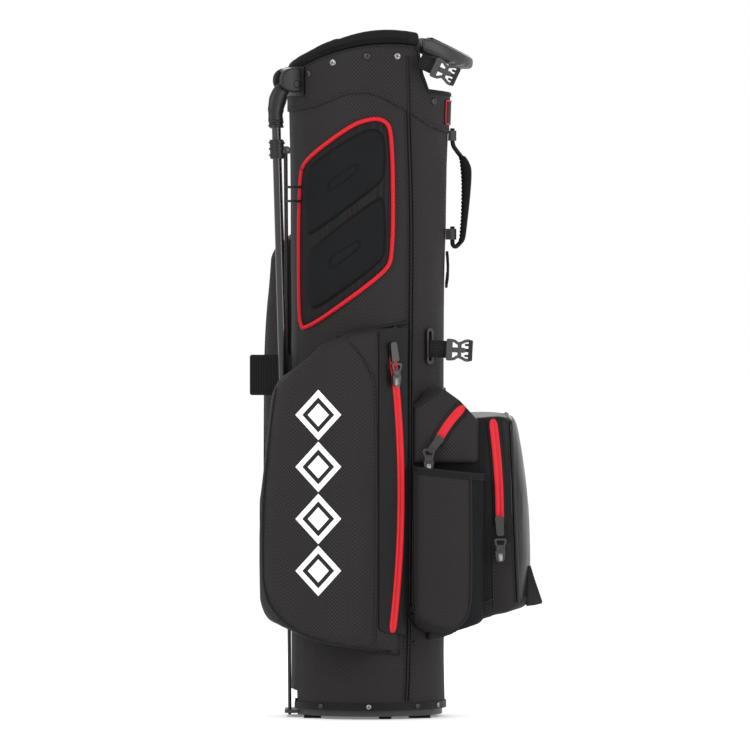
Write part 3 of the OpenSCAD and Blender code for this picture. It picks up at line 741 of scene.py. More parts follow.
def rim_line(angles, height, out):
    """A line round the body at height(x), and the directions out of it."""
    rx, _, cx = body_radii(RIM_HEIGHT)
    heights = [height(cx + rx * math.cos(angle)) for angle in angles]
    path = [body_point(angle, z, out) for angle, z in zip(angles, heights)]
    return path, [body_normal(angle, z) for angle, z in zip(angles, heights)]


COLUMNS = 240
steps = [k / 90 for k in range(91)]
shell = Shape()
hem = lambda x: 35.5 if x < -95.5 else 12
outer = ring_rows(hem, seam_top, -0.2, COLUMNS, steps)
inner = ring_rows(hem, seam_top, -2.6, COLUMNS, steps)
for k, row in enumerate(outer):
    for j, p in enumerate(row):
        z = p.z / MM
        broad = noise.noise(Vector((k * 0.05, z * 0.006, 1.7)))
        fine = noise.noise(Vector((k * 0.16, z * 0.02, 4.2)))
        wrinkle = broad * 0.9 + fine * 0.35
        fade = min(1.0, (z - 12) / 60, max(0.0, (seam_top(0) - z) / 60))
        row[j] = p + body_normal(2 * math.pi * k / COLUMNS, z) * (wrinkle - 0.7) * MM * max(0.0, fade)
around = 2 * math.pi * 0.1
shell.rows(
    [a + list(reversed(b)) for a, b in zip(outer, inner)],
    wrap=True,
    loop=True,
    cloth=lambda r, k, p: (around * r / COLUMNS, p.z, 0),
)
body_cloth = shell.make("body_cloth", FABRIC, slot="body_fabric")
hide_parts("body_shell")
body_tree = tree_of(body_cloth)

yoke = Shape()
yoke_out = ring_rows(yoke_line, lambda x: seam_top(x) - 0.5, 1.0, COLUMNS, [k / 14 for k in range(15)])
yoke_in = ring_rows(yoke_line, lambda x: seam_top(x) - 0.5, -0.6, COLUMNS, [k / 14 for k in range(15)])
yoke.rows(
    [a + list(reversed(b)) for a, b in zip(yoke_out, yoke_in)],
    wrap=True,
    loop=True,
    cloth=lambda r, k, p: (around * r / COLUMNS, p.z, 0),
)
yoke.make("yoke_panel", FABRIC, slot="body_fabric")

threads = Shape()
for rise in (2.6, 5.6):
    angles = [2 * math.pi * k / COLUMNS for k in range(COLUMNS + 1)]
    path, ups = rim_line(angles, lambda x: yoke_line(x) + rise, 1.0)
    stitches(threads, path, ups, pitch=4.6, length=3.0, radius=0.45)
threads.make("yoke_stitching", PALE_THREAD, slot="body_fabric")

binding = Shape()
angles = [math.radians(-56 + 112 * k / 96) for k in range(97)]
path, ups = rim_line(angles, lambda x: seam_top(x) - 0.5, -0.6)
sweep(binding, path, ring_profile(3.4, 12, 0.85), ups=ups)
binding.make("notch_binding", WEB, slot="liner_fabric")
edge_threads = Shape()
stitches(edge_threads, [p - Vector((0, 0, 2.0 * MM)) for p in path], ups, pitch=4.0, lift=3.1)
edge_threads.make("binding_stitching", PALE_THREAD, slot="liner_fabric")

# Vertical piped seams, with a row of thread in front of each.
SEAM = ((51, 846), (52.5, 771), (56, 640), (55.4, 496), (54.6, 430), (54.6, 200), (52, 60), (50, 24))
piping, seam_threads = Shape(), Shape()
for side in (NEAR, FAR):
    line = curve_through(upright(SEAM), 6)
    for shift in (-1.7, 1.7):
        path = [body_point(body_angle(p.x + shift, p.z, side), p.z, 1.1) for p in line]
        ups = [body_normal(body_angle(p.x + shift, p.z, side), p.z) for p in line]
        tube(piping, path, 1.35, 10, ups=ups)
    path = [body_point(body_angle(p.x - 5.2, p.z, side), p.z, 0.2) for p in line]
    ups = [body_normal(body_angle(p.x - 5.2, p.z, side), p.z) for p in line]
    stitches(seam_threads, path, ups)
seam_piece = piping.make("seam_piping_cloth", BLACK_BRAID, slot="laminate_black")
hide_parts("seam_piping")
seam_threads.make("seam_stitching", PALE_THREAD, slot="body_fabric")


# ---- Collar ----
NOTCH_X = 61.9  # where the cloth's arch ends


def collar_rows(start, end, count, grow=0.0, wobble=1.0):
    rows = []
    for k in range(count):
        angle = start + (end - start) * k / (count - 1)
        rx, ry, cx = body_radii(862)
        x = cx + rx * math.cos(angle)
        z0, z1 = seam_top(min(x, NOTCH_X)) + 0.3, collar_top(x)
        half = (z1 - z0) / 2
        close = min(1.0, k / 3 + 0.35, (count - 1 - k) / 3 + 0.35) if wobble else 1.0
        fold = 1 - 0.16 * math.exp(-(((x + 78) / 9) ** 2)) if wobble else 1.0
        row = []
        for j, a in enumerate(turns(20)):
            c, s = math.cos(a), math.sin(a)
            across = squared(c, 0.75) * (10.0 + grow) * close
            up = squared(s, 0.8) * (half + grow * 0.5) * close * fold
            lump = wobble * 0.5 * noise.noise(Vector((k * 0.22, j * 0.5, 3.1)))
            row.append(body_point(angle, (z0 + z1) / 2 + up, -10.8 + across + lump))
        rows.append(row)
    return rows


collar_end = math.acos((64.5 - 1.3) / 105.4)
rows = collar_rows(collar_end, 2 * math.pi - collar_end, 150)
collar = Shape()
collar.solid(rows, cloth=lambda r, k, p: (r * 0.0035, k * 0.0032, 0))
collar_piece = collar.make("collar_pad", MESH, slot="mesh_black")
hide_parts("cuff_collar")
tapes = Shape()
for side in (0, 1):
    first = collar_end - 0.005 if side == 0 else 2 * math.pi - collar_end - 0.145
    tapes.rows(collar_rows(first, first + 0.15, 8, 0.45, 0), wrap=True)
tapes.make("collar_end_tapes", WEB, slot="liner_fabric")
collar_seam = Shape()
path, ups = [], []
for k in range(181):
    angle = collar_end + (2 * math.pi - 2 * collar_end) * k / 180
    x = body_radii(850)[2] + body_radii(850)[0] * math.cos(angle)
    path.append(body_point(angle, seam_top(min(x, NOTCH_X)), 0.4))
    ups.append(body_normal(angle, 850))
tube(collar_seam, path, 1.3, 8, ups=ups)
collar_seam.make("collar_piping", BLACK_BRAID, slot="laminate_black")


# ---- Lift handle ----
HANDLE_STEPS = 120
HANDLE_REACH, HANDLE_WIDTH = 94.5, 77.2
HANDLE_TOP = ((62, 870.5), (80, 869.5), (106, 856.5), (124.5, 847))


def handle_spot(phi):
    """The handle's middle line in plan."""
    return 30 + HANDLE_REACH * math.cos(phi), HANDLE_WIDTH * math.sin(phi)


handle = Shape()
rows = []
for k in range(HANDLE_STEPS + 1):
    phi = math.radians(-66.5 + 133 * k / HANDLE_STEPS)
    x, y = handle_spot(phi)
    top = table(x, HANDLE_TOP)
    under = table(x, ((62, 855), (76, 849), (105, 838), (124.5, 832.5)))
    mid, half = (top + under) / 2, (top - under) / 2
    out = Vector((math.cos(phi) / HANDLE_REACH, math.sin(phi) / HANDLE_WIDTH, 0)).normalized()
    grip = max(0.0, 1 - abs(phi) / 0.95)
    row = []
    for a in turns(24):
        c, s = math.cos(a), math.sin(a)
        across = squared(c, 0.62) * 10.3
        up = squared(s, 0.62) * half
        if s < -0.3 and grip > 0:
            up -= 1.5 * min(1.0, grip * 4) * abs(math.sin(phi * 15)) ** 2
        if s > 0.9:
            up -= 0.5
        row.append(at(x, y, mid + up) + out * across * MM)
    rows.append(row)
handle.solid(rows)
lift_handle = handle.make("lift_handle", GREY, slot="moulded_grey")
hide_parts("cuff_handle")
lips = Shape()
path = []
for k in range(61):
    x, y = handle_spot(math.radians(-60 + 120 * k / 60))
    path.append(at(x, y, table(x, HANDLE_TOP) - 0.2))
sweep(lips, path, [(-6.5, 0), (-5.4, 0.8), (5.4, 0.8), (6.5, 0)], ups=[Vector((0, 0, 1))] * len(path))
lips.make("lift_handle_inlay", RUBBER, slot="rubber_black")


# ---- Screws ----
def phillips(shape, recess_shade, place, out, radius, height):
    """A domed head with a cross of thin black bars on top: painted shade where the cross slot would be."""
    out = out.normalized()
    side = out.cross(Vector((0, 0, 1))).normalized()
    up = side.cross(out).normalized()
    rows = []
    for r, h in ((1.0, -0.3), (1.0, 0.35), (0.93, 0.68), (0.72, 0.92), (0.4, 1.0), (0.05, 1.02)):
        rows.append(
            [
                place + out * h * height * MM + (side * math.cos(a) + up * math.sin(a)) * radius * r * MM
                for a in turns(24)
            ]
        )
    start = shape.rows(rows, wrap=True)
    shape.cap(start + 5 * 24, 24)
    # The two black slabs are painted shade standing in for the cross slot; nothing is cut.
    for turn in (0.4, 0.4 + math.pi / 2):
        along = side * math.cos(turn) + up * math.sin(turn)
        over = out.cross(along)
        corners = [(-0.55, -0.11), (0.55, -0.11), (0.55, 0.11), (-0.55, 0.11)]
        slab(
            recess_shade,
            corners,
            lambda a, b, d: place + (along * a + over * b) * radius * MM + out * d * MM,
            height * 0.9,
            height * 1.07,
        )


for node, spots, offset, radius, height in (
    ("cuff_screws", ((-75, 824), (-44, 838), (-1, 846), (37, 846), (83, 789)), 1.0, 4.4, 2.4),
    ("base_screws", ((-59, 16.3), (1, 16.3), (62, 16.3), (88, 16.3)), 1.9, 3.3, 1.7),
):
    bright, dark, cross_shade = Shape(), Shape(), Shape()
    for number, (x, z) in enumerate(spots):
        for side in (NEAR, FAR):
            angle = body_angle(x, z, side)
            target = bright if number in (1, 3) else dark
            phillips(target, cross_shade, body_point(angle, z, offset), body_normal(angle, z), radius, height)
    first = dark.make(node + "_dark", GUNMETAL, slot="screw_steel")
    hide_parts(node)
    bright.make(node + "_bright", STEEL, slot="screw_steel")
    # The black bars on each screw head are painted shade standing in for the cross slot.
    cross_shade.make(node + "_recess", BLACK, slot="moulded_black", smooth=False)


# ---- Pockets ----
def pocket_shape(plan, bottom, top, squeeze, radius, count=110, side=NEAR, open_top=False, lip=3.0):
    """A pocket's outside: each column goes out from the body, up the plan line and back to the body."""
    line = resample(soften(level(plan), 3), count)
    shape = Shape()
    columns = []
    for p in line:
        z0, z1 = bottom(p.x), top(p.x)
        rx, ry, cx = body_radii((z0 + z1) / 2)
        phi = math.atan2(p.y / ry, (p.x - cx) / rx)
        base = Vector((cx + (rx + 0.5) * math.cos(phi), (ry + 0.5) * math.sin(phi), 0))
        if (p - Vector((cx, 0, 0))).length < (base - Vector((cx, 0, 0))).length:
            base = p.copy()
        reach = p - base
        span = max(reach.length, 0.01)
        r = min(radius, span * 0.85, (z1 - z0) / 3)
        profile = [(k / 5 * (1 - r / span), z0) for k in range(5)]
        profile += [
            (1 - r / span * (1 - math.sin(a)), z0 + r * (1 - math.cos(a)))
            for a in (k * math.pi / 10 for k in range(5))
        ]
        profile += [(1.0, z0 + r + (z1 - z0 - r * 2) * k / 24) for k in range(25)]
        if open_top:
            profile += [(1.0, z1), (1 - lip / span, z1), (1 - lip / span, z0 + 12), (0.1, z0 + 12)]
        else:
            profile += [
                (1 - r / span * (1 - math.cos(a)), z1 - r + r * math.sin(a))
                for a in (k * math.pi / 10 for k in range(1, 6))
            ]
            profile += [((5 - k) / 5 * (1 - r / span), z1) for k in range(1, 6)]
        column = []
        for f, z in profile:
            q = base + reach * f
            x, y = squeeze(q.x, q.y, z)
            column.append(at(x, -side * y, z))
        columns.append(column)
    shape.solid(columns)
    return shape, line


def flatten_onto(obj, line, side, middle_z):
    """Cloth coordinates from the pocket's plan line and height, worked out after the mesh is final."""
    runs = [0.0]
    for a, b in zip(line, line[1:]):
        runs.append(runs[-1] + (b - a).length)
    values = []
    for v in obj.data.vertices:
        x, y = (v.co.x - AXIS_X) / MM, -side * v.co.y / MM
        near = min(range(len(line)), key=lambda i: (line[i].x - x) ** 2 + (line[i].y - y) ** 2)
        gap = math.hypot(line[near].x - x, line[near].y - y)
        z = v.co.z / MM
        values.append((runs[near] * MM, (z + (gap if z > middle_z else -gap)) * MM, 0))
    set_cloth(obj, values)


def near_body(co, margin=4.0):
    rx, ry, cx = body_radii(co.z / MM)
    x, y = (co.x - AXIS_X) / MM - cx, co.y / MM
    return (x / (rx + margin)) ** 2 + (y / (ry + margin)) ** 2 < 1


FLANK_TURN = math.radians(35)
FLANK_X, FLANK_Y = 52, -88
FLANK_OUT = Vector((math.sin(FLANK_TURN), -math.cos(FLANK_TURN), 0))
FLANK_ALONG = Vector((math.cos(FLANK_TURN), math.sin(FLANK_TURN), 0))


def flank(a, out, z, side=NEAR):
    """A point on a side pocket's zipped flank: a along it from its rear edge, out from it."""
    p = Vector((FLANK_X, FLANK_Y, 0)) + FLANK_ALONG * a + FLANK_OUT * out
    return at(p.x, -side * p.y, z)


def on_flank(co, side):
    x, y = (co.x - AXIS_X) / MM, -side * co.y / MM
    p = Vector((x - FLANK_X, y - FLANK_Y, 0))
    return -56 < p.dot(FLANK_ALONG) < 6 and p.dot(FLANK_OUT) > -7


def left_edge(rows):
    """Draws the leg side of a pocket in or out with height."""

    def squeeze(x, y, z):
        if x > -60:
            return x, y
        return -60 + (x + 60) * (table(z, rows) + 60) / -80, y

    return squeeze


side_plan = (
    (-66, -66), (-100, -70), (-138, -90), (-140, -112), (-124, -140), (-84, -156), (-35, -148.5),
    (8, -118.5), (12.2, -115.4), (18, -111.4), (46, -91.8), (50.5, -88.7), (51.6, -87)
)
left_foot = ((82, -96), (108, -112), (124, -130), (150, -139))
near_left = left_foot + (
    (200, -140.2), (280, -139.5), (346, -132.5), (414, -124), (444, -112), (462, -106), (509, -60)
)
far_left = left_foot + (
    (250, -140.2), (400, -139), (520, -134), (590, -127), (622, -118), (655, -70)
)
side_bottom = lambda x: table(x, ((-140, 124), (-100, 106), (42, 82), (55, 82)))
pockets = {}
for side, name, left, top_rows, slot_name in (
    (NEAR, "near", near_left, ((-140, 440), (-106, 458), (-75, 476), (-36, 491), (55, 508)), "near_pocket"),
    (FAR, "far", far_left, ((-140, 605), (-122, 622), (-80, 634), (-40, 640), (55, 654)), "far_pocket"),
):
    shape, line = pocket_shape(
        side_plan, side_bottom, lambda x: table(x, top_rows), left_edge(left), 15, side=side
    )
    piece = shape.make(name + "_pocket_cloth", FABRIC, slot="body_fabric", hold=False)
    fill_out(piece, lambda co: near_body(co) or on_flank(co, side), cap=5.0)
    crumple(piece, 1.6, 16.0, 0.4, seed=side * 5.0, held=lambda co: near_body(co) or on_flank(co, side))
    flatten_onto(piece, line, side, 300)
    smooth_once(piece)
    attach(piece, "bag")
    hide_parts(slot_name)
    pockets[name] = (piece, tree_of(piece))

near_tree, far_tree = pockets["near"][1], pockets["far"][1]
EDGE_FOOT = (
    (-136.5, 200), (-135, 172), (-129, 150), (-116, 132), (-98, 118), (-77, 108), (-49, 100), (3, 90),
    (40, 84)
)
EDGE_NEAR = (
    (50, 507), (-36, 489), (-70, 474), (-92, 464), (-110, 444), (-121, 414), (-129.5, 346), (-136, 275)
) + EDGE_FOOT
EDGE_FAR = (
    (50, 652), (-40, 637), (-84, 628), (-106, 618), (-118, 598), (-128, 560), (-135, 470), (-136.5, 300)
) + EDGE_FOOT
edge, inner_edge, edge_threads = Shape(), Shape(), Shape()
for side, tree, line in ((NEAR, near_tree, EDGE_NEAR), (FAR, far_tree, EDGE_FAR)):
    inset = [(x + 3.0 if x < -90 else x, z) for x, z in line]
    path, ups = drape([tree], inset, side, 5.0)
    kept = [k for k, p in enumerate(path) if abs(p.y) > 92 * MM or p.x > AXIS_X]
    path, ups = [path[k] for k in kept], [ups[k] for k in kept]
    tube(edge, path, 1.9, 10, ups=ups, lift=0.4)
    stitches(edge_threads, path, ups, shift=-4.6 if side == NEAR else 4.6, lift=0.3)
    rise = 0 if side == NEAR else 146
    seam = (
        (-26, 488 + rise), (1.3, 450 + rise * 0.8), (8.5, 401 + rise * 0.5), (10, 239), (8.5, 131), (7, 96)
    )
    path, ups = drape([tree], seam, side, 5.0)
    tube(inner_edge, path, 1.2, 8, ups=ups, lift=0.2)
    stitches(edge_threads, path, ups, shift=-3.4)
    stitches(edge_threads, path, ups, shift=3.4)
edge.make("side_pocket_piping", BLACK_BRAID, slot="laminate_black")
inner_edge.make("side_pocket_seams", FABRIC, slot="body_fabric")
edge_threads.make("side_pocket_stitching", THREAD, slot="body_fabric")

# A generic printed column of argyle diamonds.
print_mark = Shape()
for number in range(4):
    middle_x, middle_z, wide, tall = -63, 390 - number * 66, 29, 32
    diamond = [
        (middle_x, middle_z + tall), (middle_x + wide, middle_z), (middle_x, middle_z - tall),
        (middle_x - wide, middle_z)
    ]
    closed = resample(upright(diamond), 48, True)
    for scale_out, scale_in in ((1.0, 0.70), (0.46, 0.02)):
        rows = []
        for scale, lift in ((scale_out, 0.1), (scale_out, 0.35), (scale_in, 0.35), (scale_in, 0.1)):
            row = []
            for p in closed:
                place, normal = cast(
                    [near_tree], middle_x + (p.x - middle_x) * scale, middle_z + (p.z - middle_z) * scale,
                    NEAR
                )
                row.append(place + normal * lift * MM)
            rows.append(row)
        print_mark.rows(rows, wrap=True, cloth=lambda r, k, p: (p.x, p.z, 0))
print_mark.make("argyle_print", WHITE, slot="body_fabric", smooth=False)


# ---- Zippers ----
ZIP_PROFILE = [
    (-5.4, 0), (-5.3, 0.9), (-4.6, 1.25), (-1.5, 1.35), (-0.8, 0.55), (0.8, 0.55), (1.5, 1.35), (4.6, 1.25),
    (5.3, 0.9), (5.4, 0)
]


def zipper(shape, path, ups, round_end=True):
    """Red coated tape with a middle groove, rounded at its ends."""
    line = resample(path, max(8, int(length_of(path) / (3.0 * MM))))
    hints = [u.normalized() for u in resample(ups, len(line))]
    scale = [1.0] * len(line)
    if round_end:
        for k, value in enumerate((0.45, 0.78, 0.93)):
            scale[k] = scale[-1 - k] = value
    sweep(shape, line, ZIP_PROFILE, ups=hints, scale=scale)


ZIP_ARC = 1170
reds, zip_threads = Shape(), Shape()
for side, low, high in ((NEAR, 118, 461), (FAR, 118, 590)):
    half = math.asin((high - low) / 2 / ZIP_ARC)
    path, ups = [], []
    out = Vector((FLANK_OUT.x, -side * FLANK_OUT.y, 0))
    for k in range(81):
        a = -half - 0.006 + (2 * half + 0.012) * k / 80
        bow = -13.3 - ZIP_ARC + ZIP_ARC * math.cos(a)
        path.append(flank(bow, 1.5, (low + high) / 2 + ZIP_ARC * math.sin(a), side))
        ups.append(out)
    zipper(reds, path, ups)
    for shift in (-8.4, 8.4):
        row = [p + Vector((FLANK_ALONG.x, -side * FLANK_ALONG.y, 0)) * shift * MM for p in path]
        stitches(zip_threads, row, ups, pitch=4.2, lift=0.2)
long_red = reds.make("long_zip_tapes", RED_ZIP, slot="zip_red")
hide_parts("near_zip_coil", "far_zip_coil")
zip_threads.make("zip_stitching", THREAD, slot="laminate_black")

# Ball pocket.
front_rows = ((91, 196), (120, 202), (135, 205.5), (200, 209), (283, 205.5), (340, 198), (388, 189))


def ball_squeeze(x, y, z):
    if x < 150:
        return x, y
    return 150 + (x - 150) * (table(z, front_rows) - 150) / 59, y


ball_plan = (
    (60, -71.7), (120, -71.7), (180, -71.7), (187, -71.5), (194, -66), (202, -52), (208.4, -30),
    (208.6, 5), (208.4, 40), (202, 62), (192, 82), (176, 87.4), (120, 87.6), (60, 87.6)
)
ball_bottom = lambda x: table(x, ((60, 100), (99, 92), (140, 113), (177, 126), (206, 136)))
ball_top = lambda x: table(x, ((60, 380), (99, 397), (142, 383), (190, 387)))
shape, line = pocket_shape(ball_plan, ball_bottom, ball_top, ball_squeeze, 9, side=NEAR)
ball = shape.make("ball_pocket_cloth", TPU, slot="laminate_black", hold=False)
ball_held = lambda co: near_body(co) or co.y < -70.5 * MM or co.z < 150 * MM
fill_out(ball, ball_held, pressure=3.5, cap=4.0)
crumple(ball, 1.5, 15.0, 0.25, seed=11.0, held=lambda co: ball_held(co) or co.x > AXIS_X + 206 * MM)
calm(ball, lambda co: co.z < 168 * MM and not near_body(co, 1.0), 14)
flatten_onto(ball, line, NEAR, 240)
ball.data.materials.append(GLOSS)
ball.data.materials.append(PANEL)
for face in ball.data.polygons:
    x, y, z = (face.center.x - AXIS_X) / MM, face.center.y / MM, face.center.z / MM
    edge_x = table(z, ((149, 190), (383, 181)))
    if z < table(x, ((55, 95), (82, 118), (124, 141), (158, 152), (206, 152))) or face.normal.z < -0.6:
        face.material_index = 2
    elif y < -60 and 159 < x < edge_x and z < 228:
        face.material_index = 2
    elif x > edge_x:
        face.material_index = 1
smooth_once(ball)
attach(ball, "bag")
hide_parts("ball_pocket")
ball_tree = tree_of(ball)

# Valuables pocket and bottle pocket.
straight = lambda x, y, z: (x, y)
shape, line = pocket_shape(
    [(58, -73), (58.5, -84), (62, -90.6), (100, -90.8), (134, -90.6), (140, -84), (141.5, -73)],
    lambda x: 327, lambda x: table(x, ((58, 398), (99, 423), (120, 408), (141, 385))), straight, 7, 60)
valuables = shape.make("valuables_pocket_cloth", FABRIC, slot="body_fabric", hold=False)
flatten_onto(valuables, line, NEAR, 360)
smooth_once(valuables)
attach(valuables, "bag")
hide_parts("valuables_pocket")
valuables_tree = tree_of(valuables)

bottle_top = lambda x: table(x, ((57, 322.5), (149, 313)))
bottle_bottom = lambda x: table(x, ((57, 134), (84, 118), (110, 111), (149, 122)))
bottle_plan = [
    (57.5, -82), (59, -98), (64, -109), (84, -112.5), (108, -114.6), (130, -110), (141, -104), (147, -92),
    (148.5, -73)
]
shape, line = pocket_shape(bottle_plan, bottle_bottom, bottle_top, straight, 10, 120, open_top=True)
bottle = shape.make("bottle_pocket_cloth", PANEL, slot="body_fabric", hold=False)
bottle.data.materials.append(NEOPRENE)
for vertex in bottle.data.vertices:
    x, y, z = (vertex.co.x - AXIS_X) / MM, vertex.co.y / MM, vertex.co.z / MM
    if x > 128:
        gather = math.sin(y * 1.05 + x * 0.55) * min(1.0, (x - 128) / 8) * (
            0.35 + 0.65 * max(0.0, (z - 130) / 190)
        )
        vertex.co.x -= (0.9 + 0.9 * gather) * MM
        vertex.co.y += 0.5 * gather * MM
flatten_onto(bottle, line, NEAR, 220)
for face in bottle.data.polygons:
    x, z = (face.center.x - AXIS_X) / MM, face.center.z / MM
    if x > table(z, ((110, 108), (126, 124), (150, 131), (320, 131))) or x < 60:
        face.material_index = 1
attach(bottle, "bag")
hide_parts("bottle_pocket")
bottle_tree = tree_of(bottle)

elastic, elastic_threads = Shape(), Shape()
rim = resample(soften(level(bottle_plan), 3), 70)
path = [at(p.x, p.y, bottle_top(p.x) - 4.0) for p in rim]
outs = []
for i, p in enumerate(rim):
    t = rim[min(i + 1, 69)] - rim[max(i - 1, 0)]
    outs.append(Vector((t.y, -t.x, 0)).normalized() * (1 if t.x >= 0 or t.y > 0 else -1))
outs = [o if o.dot(Vector((p.x - 100, p.y + 60, 0))) > 0 else -o for o, p in zip(outs, rim)]
sweep(elastic, path, [(-5, -0.5), (-4.6, 0.9), (4.6, 0.9), (5, -0.5), (4.4, -3.6), (-4.4, -3.6)], ups=outs)
elastic.make("bottle_elastic", WEB, slot="neoprene_black")
for shift in (-3.4, 3.4):
    stitches(elastic_threads, path, outs, pitch=3.6, length=2.2, lift=0.9, shift=shift)
bottle_seam = ((131, 311), (131.5, 240), (131, 160), (126, 132), (112, 116))
path, ups = drape([bottle_tree], bottle_seam, NEAR)
small_piping = Shape()
tube(small_piping, path, 1.5, 8, ups=ups, lift=0.3)
path, ups = drape(
    [bottle_tree], ((60.5, 318), (60, 200), (62, 140), (76, 124), (96, 116), (112, 114)), NEAR
)
tube(small_piping, path, 1.4, 8, ups=ups, lift=0.2)
stitches(elastic_threads, path, ups, pitch=4.2, shift=3.6)
path, ups = drape([valuables_tree], ((59, 396), (78, 409), (99, 421), (118, 408), (139, 386)), NEAR)
tube(small_piping, [p + Vector((0, 0, 0.5 * MM)) for p in path], 1.8, 10, ups=ups, lift=0.2)
small_piping.make("small_pocket_piping", BLACK_BRAID, slot="laminate_black")
elastic_threads.make("small_pocket_stitching", PALE_THREAD, slot="body_fabric")

flap = Shape()
rows = []
for k in range(25):
    y = -34 + 68 * k / 24
    lift = 0.8 * math.sin(math.pi * k / 24)
    outline = [
        (204.5, 196), (209, 193), (214, 176 + lift), (219, 162 + lift), (223.6, 148.5), (223.0, 145.5),
        (214, 143.4), (203, 142)
    ]
    rows.append([at(a, y, z) for a, z in outline])
flap.solid(rows)
flap_piece = flap.make("rain_flap_cloth", GLOSS, slot="laminate_black")
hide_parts("rain_flap")
bevelled(flap_piece, 0.8)
flap_threads = Shape()
for y in (-30, 30):
    row = [at(208.6 + k * 1.2, y, 192.6 - k * 3.9) for k in range(11)]
    stitches(flap_threads, row, [Vector((0.95, 0, 0.3))] * 11, pitch=4.2, lift=0.3)
flap_threads.make("rain_flap_stitching", THREAD, slot="laminate_black")

# Ball pocket's piped edges, seams and zipper.
piped, ball_threads = Shape(), Shape()
front_edge = ((178, 387), (181.5, 380), (184, 340), (187, 270), (189.5, 200), (191, 160), (191, 149))
path, ups = drape([ball_tree], front_edge, NEAR)
tube(piped, path, 2.5, 12, ups=ups, lift=1.0)
stitches(ball_threads, path, ups, shift=5.2, lift=0.2)
far_path = [Vector((p.x, -p.y + 15.6 * MM, p.z)) for p in path]
tube(piped, far_path, 2.5, 12, lift=0.0)
bottom_seam = ((57, 96), (82, 118), (124, 141), (150, 149.5), (159, 152.5))
path, ups = drape([ball_tree], bottom_seam, NEAR)
tube(piped, path, 1.4, 8, ups=ups, lift=0.2)
stitches(ball_threads, path, ups, pitch=4.2, shift=3.6)
path, ups = drape([ball_tree], ((159, 226), (159.5, 190), (160, 153), (161.5, 130)), NEAR)
tube(piped, path, 1.1, 8, ups=ups, lift=0.1)
for x in (150, 143.5):
    path, ups = drape([ball_tree], ((x - 2, 384), (x, 300), (x + 2, 220), (x + 4, 156)), NEAR, 5.0)
    stitches(ball_threads, path, ups, pitch=4.2)
piped.make("ball_pocket_piping", GLOSS, slot="laminate_black")
ball_threads.make("ball_pocket_stitching", THREAD, slot="laminate_black")

short_red, short_band, short_threads = Shape(), Shape(), Shape()
for ends, y, bulge, half in (
    (((168.3, 250.6), (160, 378)), -72, 2.2, 9.0),
    (((88.7, 354.7), (124.6, 402)), -91, -2.4, 9.5),
):
    a, b = Vector((ends[0][0], 0, ends[0][1])), Vector((ends[1][0], 0, ends[1][1]))
    along = (b - a).normalized()
    across = Vector((along.z, 0, -along.x))
    length = (b - a).length
    line = []
    for k in range(31):
        s = -0.035 + (1.075 if y == -72 else 0.985) * k / 30
        q = a + along * length * s + across * bulge * math.sin(math.pi * max(0, min(1, s)))
        line.append(at(q.x, y - 0.1, q.z))
    ups = [Vector((0, -1, 0))] * len(line)
    sweep(short_band, line, [(-half, 0), (-half + 0.4, 0.9), (half - 0.4, 0.9), (half, 0)], ups=ups)
    zipper(short_red, [p + Vector((0, -0.7 * MM, 0)) for p in line], ups)
    for shift in (-7.6, 7.6):
        stitches(short_threads, line, ups, pitch=4.2, lift=1.0, shift=shift)
short_zip = short_red.make("short_zip_tapes", RED_ZIP, slot="zip_red")
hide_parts("ball_zip_tape", "valuables_zip_tape")
short_band.make("short_zip_bands", TPU, slot="laminate_black")
short_threads.make("short_zip_stitching", THREAD, slot="laminate_black")

# ---- Zip pulls ----
# Each CAD slider and pull stays; a metal insert and a ring are added to each pull.
for node in ("near_pull", "far_pull", "ball_pull", "valuables_pull"):
    body = node.replace("_pull", "_zip_pull")
    low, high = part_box(node)
    mid = (low + high) / 2
    turned = node.startswith(("near", "far"))
    side = FAR if node.startswith("far") else NEAR
    along = Vector((FLANK_ALONG.x, -side * FLANK_ALONG.y, 0)) if turned else Vector((1, 0, 0))
    out = Vector((FLANK_OUT.x, -side * FLANK_OUT.y, 0)) if turned else Vector((0, -1, 0))
    centre = Vector((mid.x, mid.y, high.z - 24.0 * MM))

    def on_pull(a, b, d):
        return centre + along * a * MM + Vector((0, 0, b * MM)) + out * d * MM

    insert = Shape()
    slab(insert, rounded_box(5.4, 9.6, 1.4), on_pull, 1.0, 1.75)
    insert.make(node + "_insert", SILVER, body=body, slot="screw_steel")
    loop = Shape()
    ring = [on_pull(x, z + 11.5, 1.0) for x, z in rounded_box(9.5, 7.5, 3.0, 4)]
    tube(loop, ring, 1.0, 8, loop=True)
    loop.make(node + "_ring", GUNMETAL, body=body, slot="screw_steel")

# ---- Hip pad ----
PAD_EDGE = ease([(-86.5, 709), (-11, 765.8), (30.8, 766.8), (31.6, 578), (-77, 497), (-87, 501)], 13)
margin = Shape()
patch(
    margin, [body_tree], PAD_EDGE, NEAR,
    ((1.0, 0.2), (0.995, 1.4), (0.9, 1.6), (0.6, 1.6), (0.3, 1.6), (0.04, 1.6)), 140, 0
)
margin.make("hip_pad_margin", PAD_CLOTH, slot="body_fabric")
red = Shape()
path, ups = drape([body_tree], PAD_EDGE, NEAR, closed=True)
sweep(red, path, ring_profile(2.7, 12, 1.0, 1.7), ups=ups, loop=True)
red_piece = red.make("hip_pad_red_piping", RED_BRAID, slot="piping_red")
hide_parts("hip_pad_piping")
pads = Shape()
UPPER = ease([(-78, 703), (-6, 752), (20.3, 752), (20.3, 688), (-70, 620), (-78.5, 620)], 9)
LOWER = ease([(-76, 597), (12, 665), (20.6, 665), (20.8, 588), (-64, 523), (-75.5, 527)], 9)
INNER_UPPER = ease([(-51.5, 684), (-13.6, 711), (-12.4, 700), (-51.5, 672)], 3)
INNER_LOWER = ease([(-50, 588.5), (-10.5, 613), (-9.5, 602.2), (-49.6, 573)], 3)
dome = ((1.0, 1.5), (0.985, 3.2), (0.955, 4.5), (0.90, 5.1), (0.8, 5.4), (0.6, 5.7), (0.35, 5.8), (0.05, 5.8))
for outline in (UPPER, LOWER):
    patch(pads, [body_tree], outline, NEAR, dome, 130, 0)
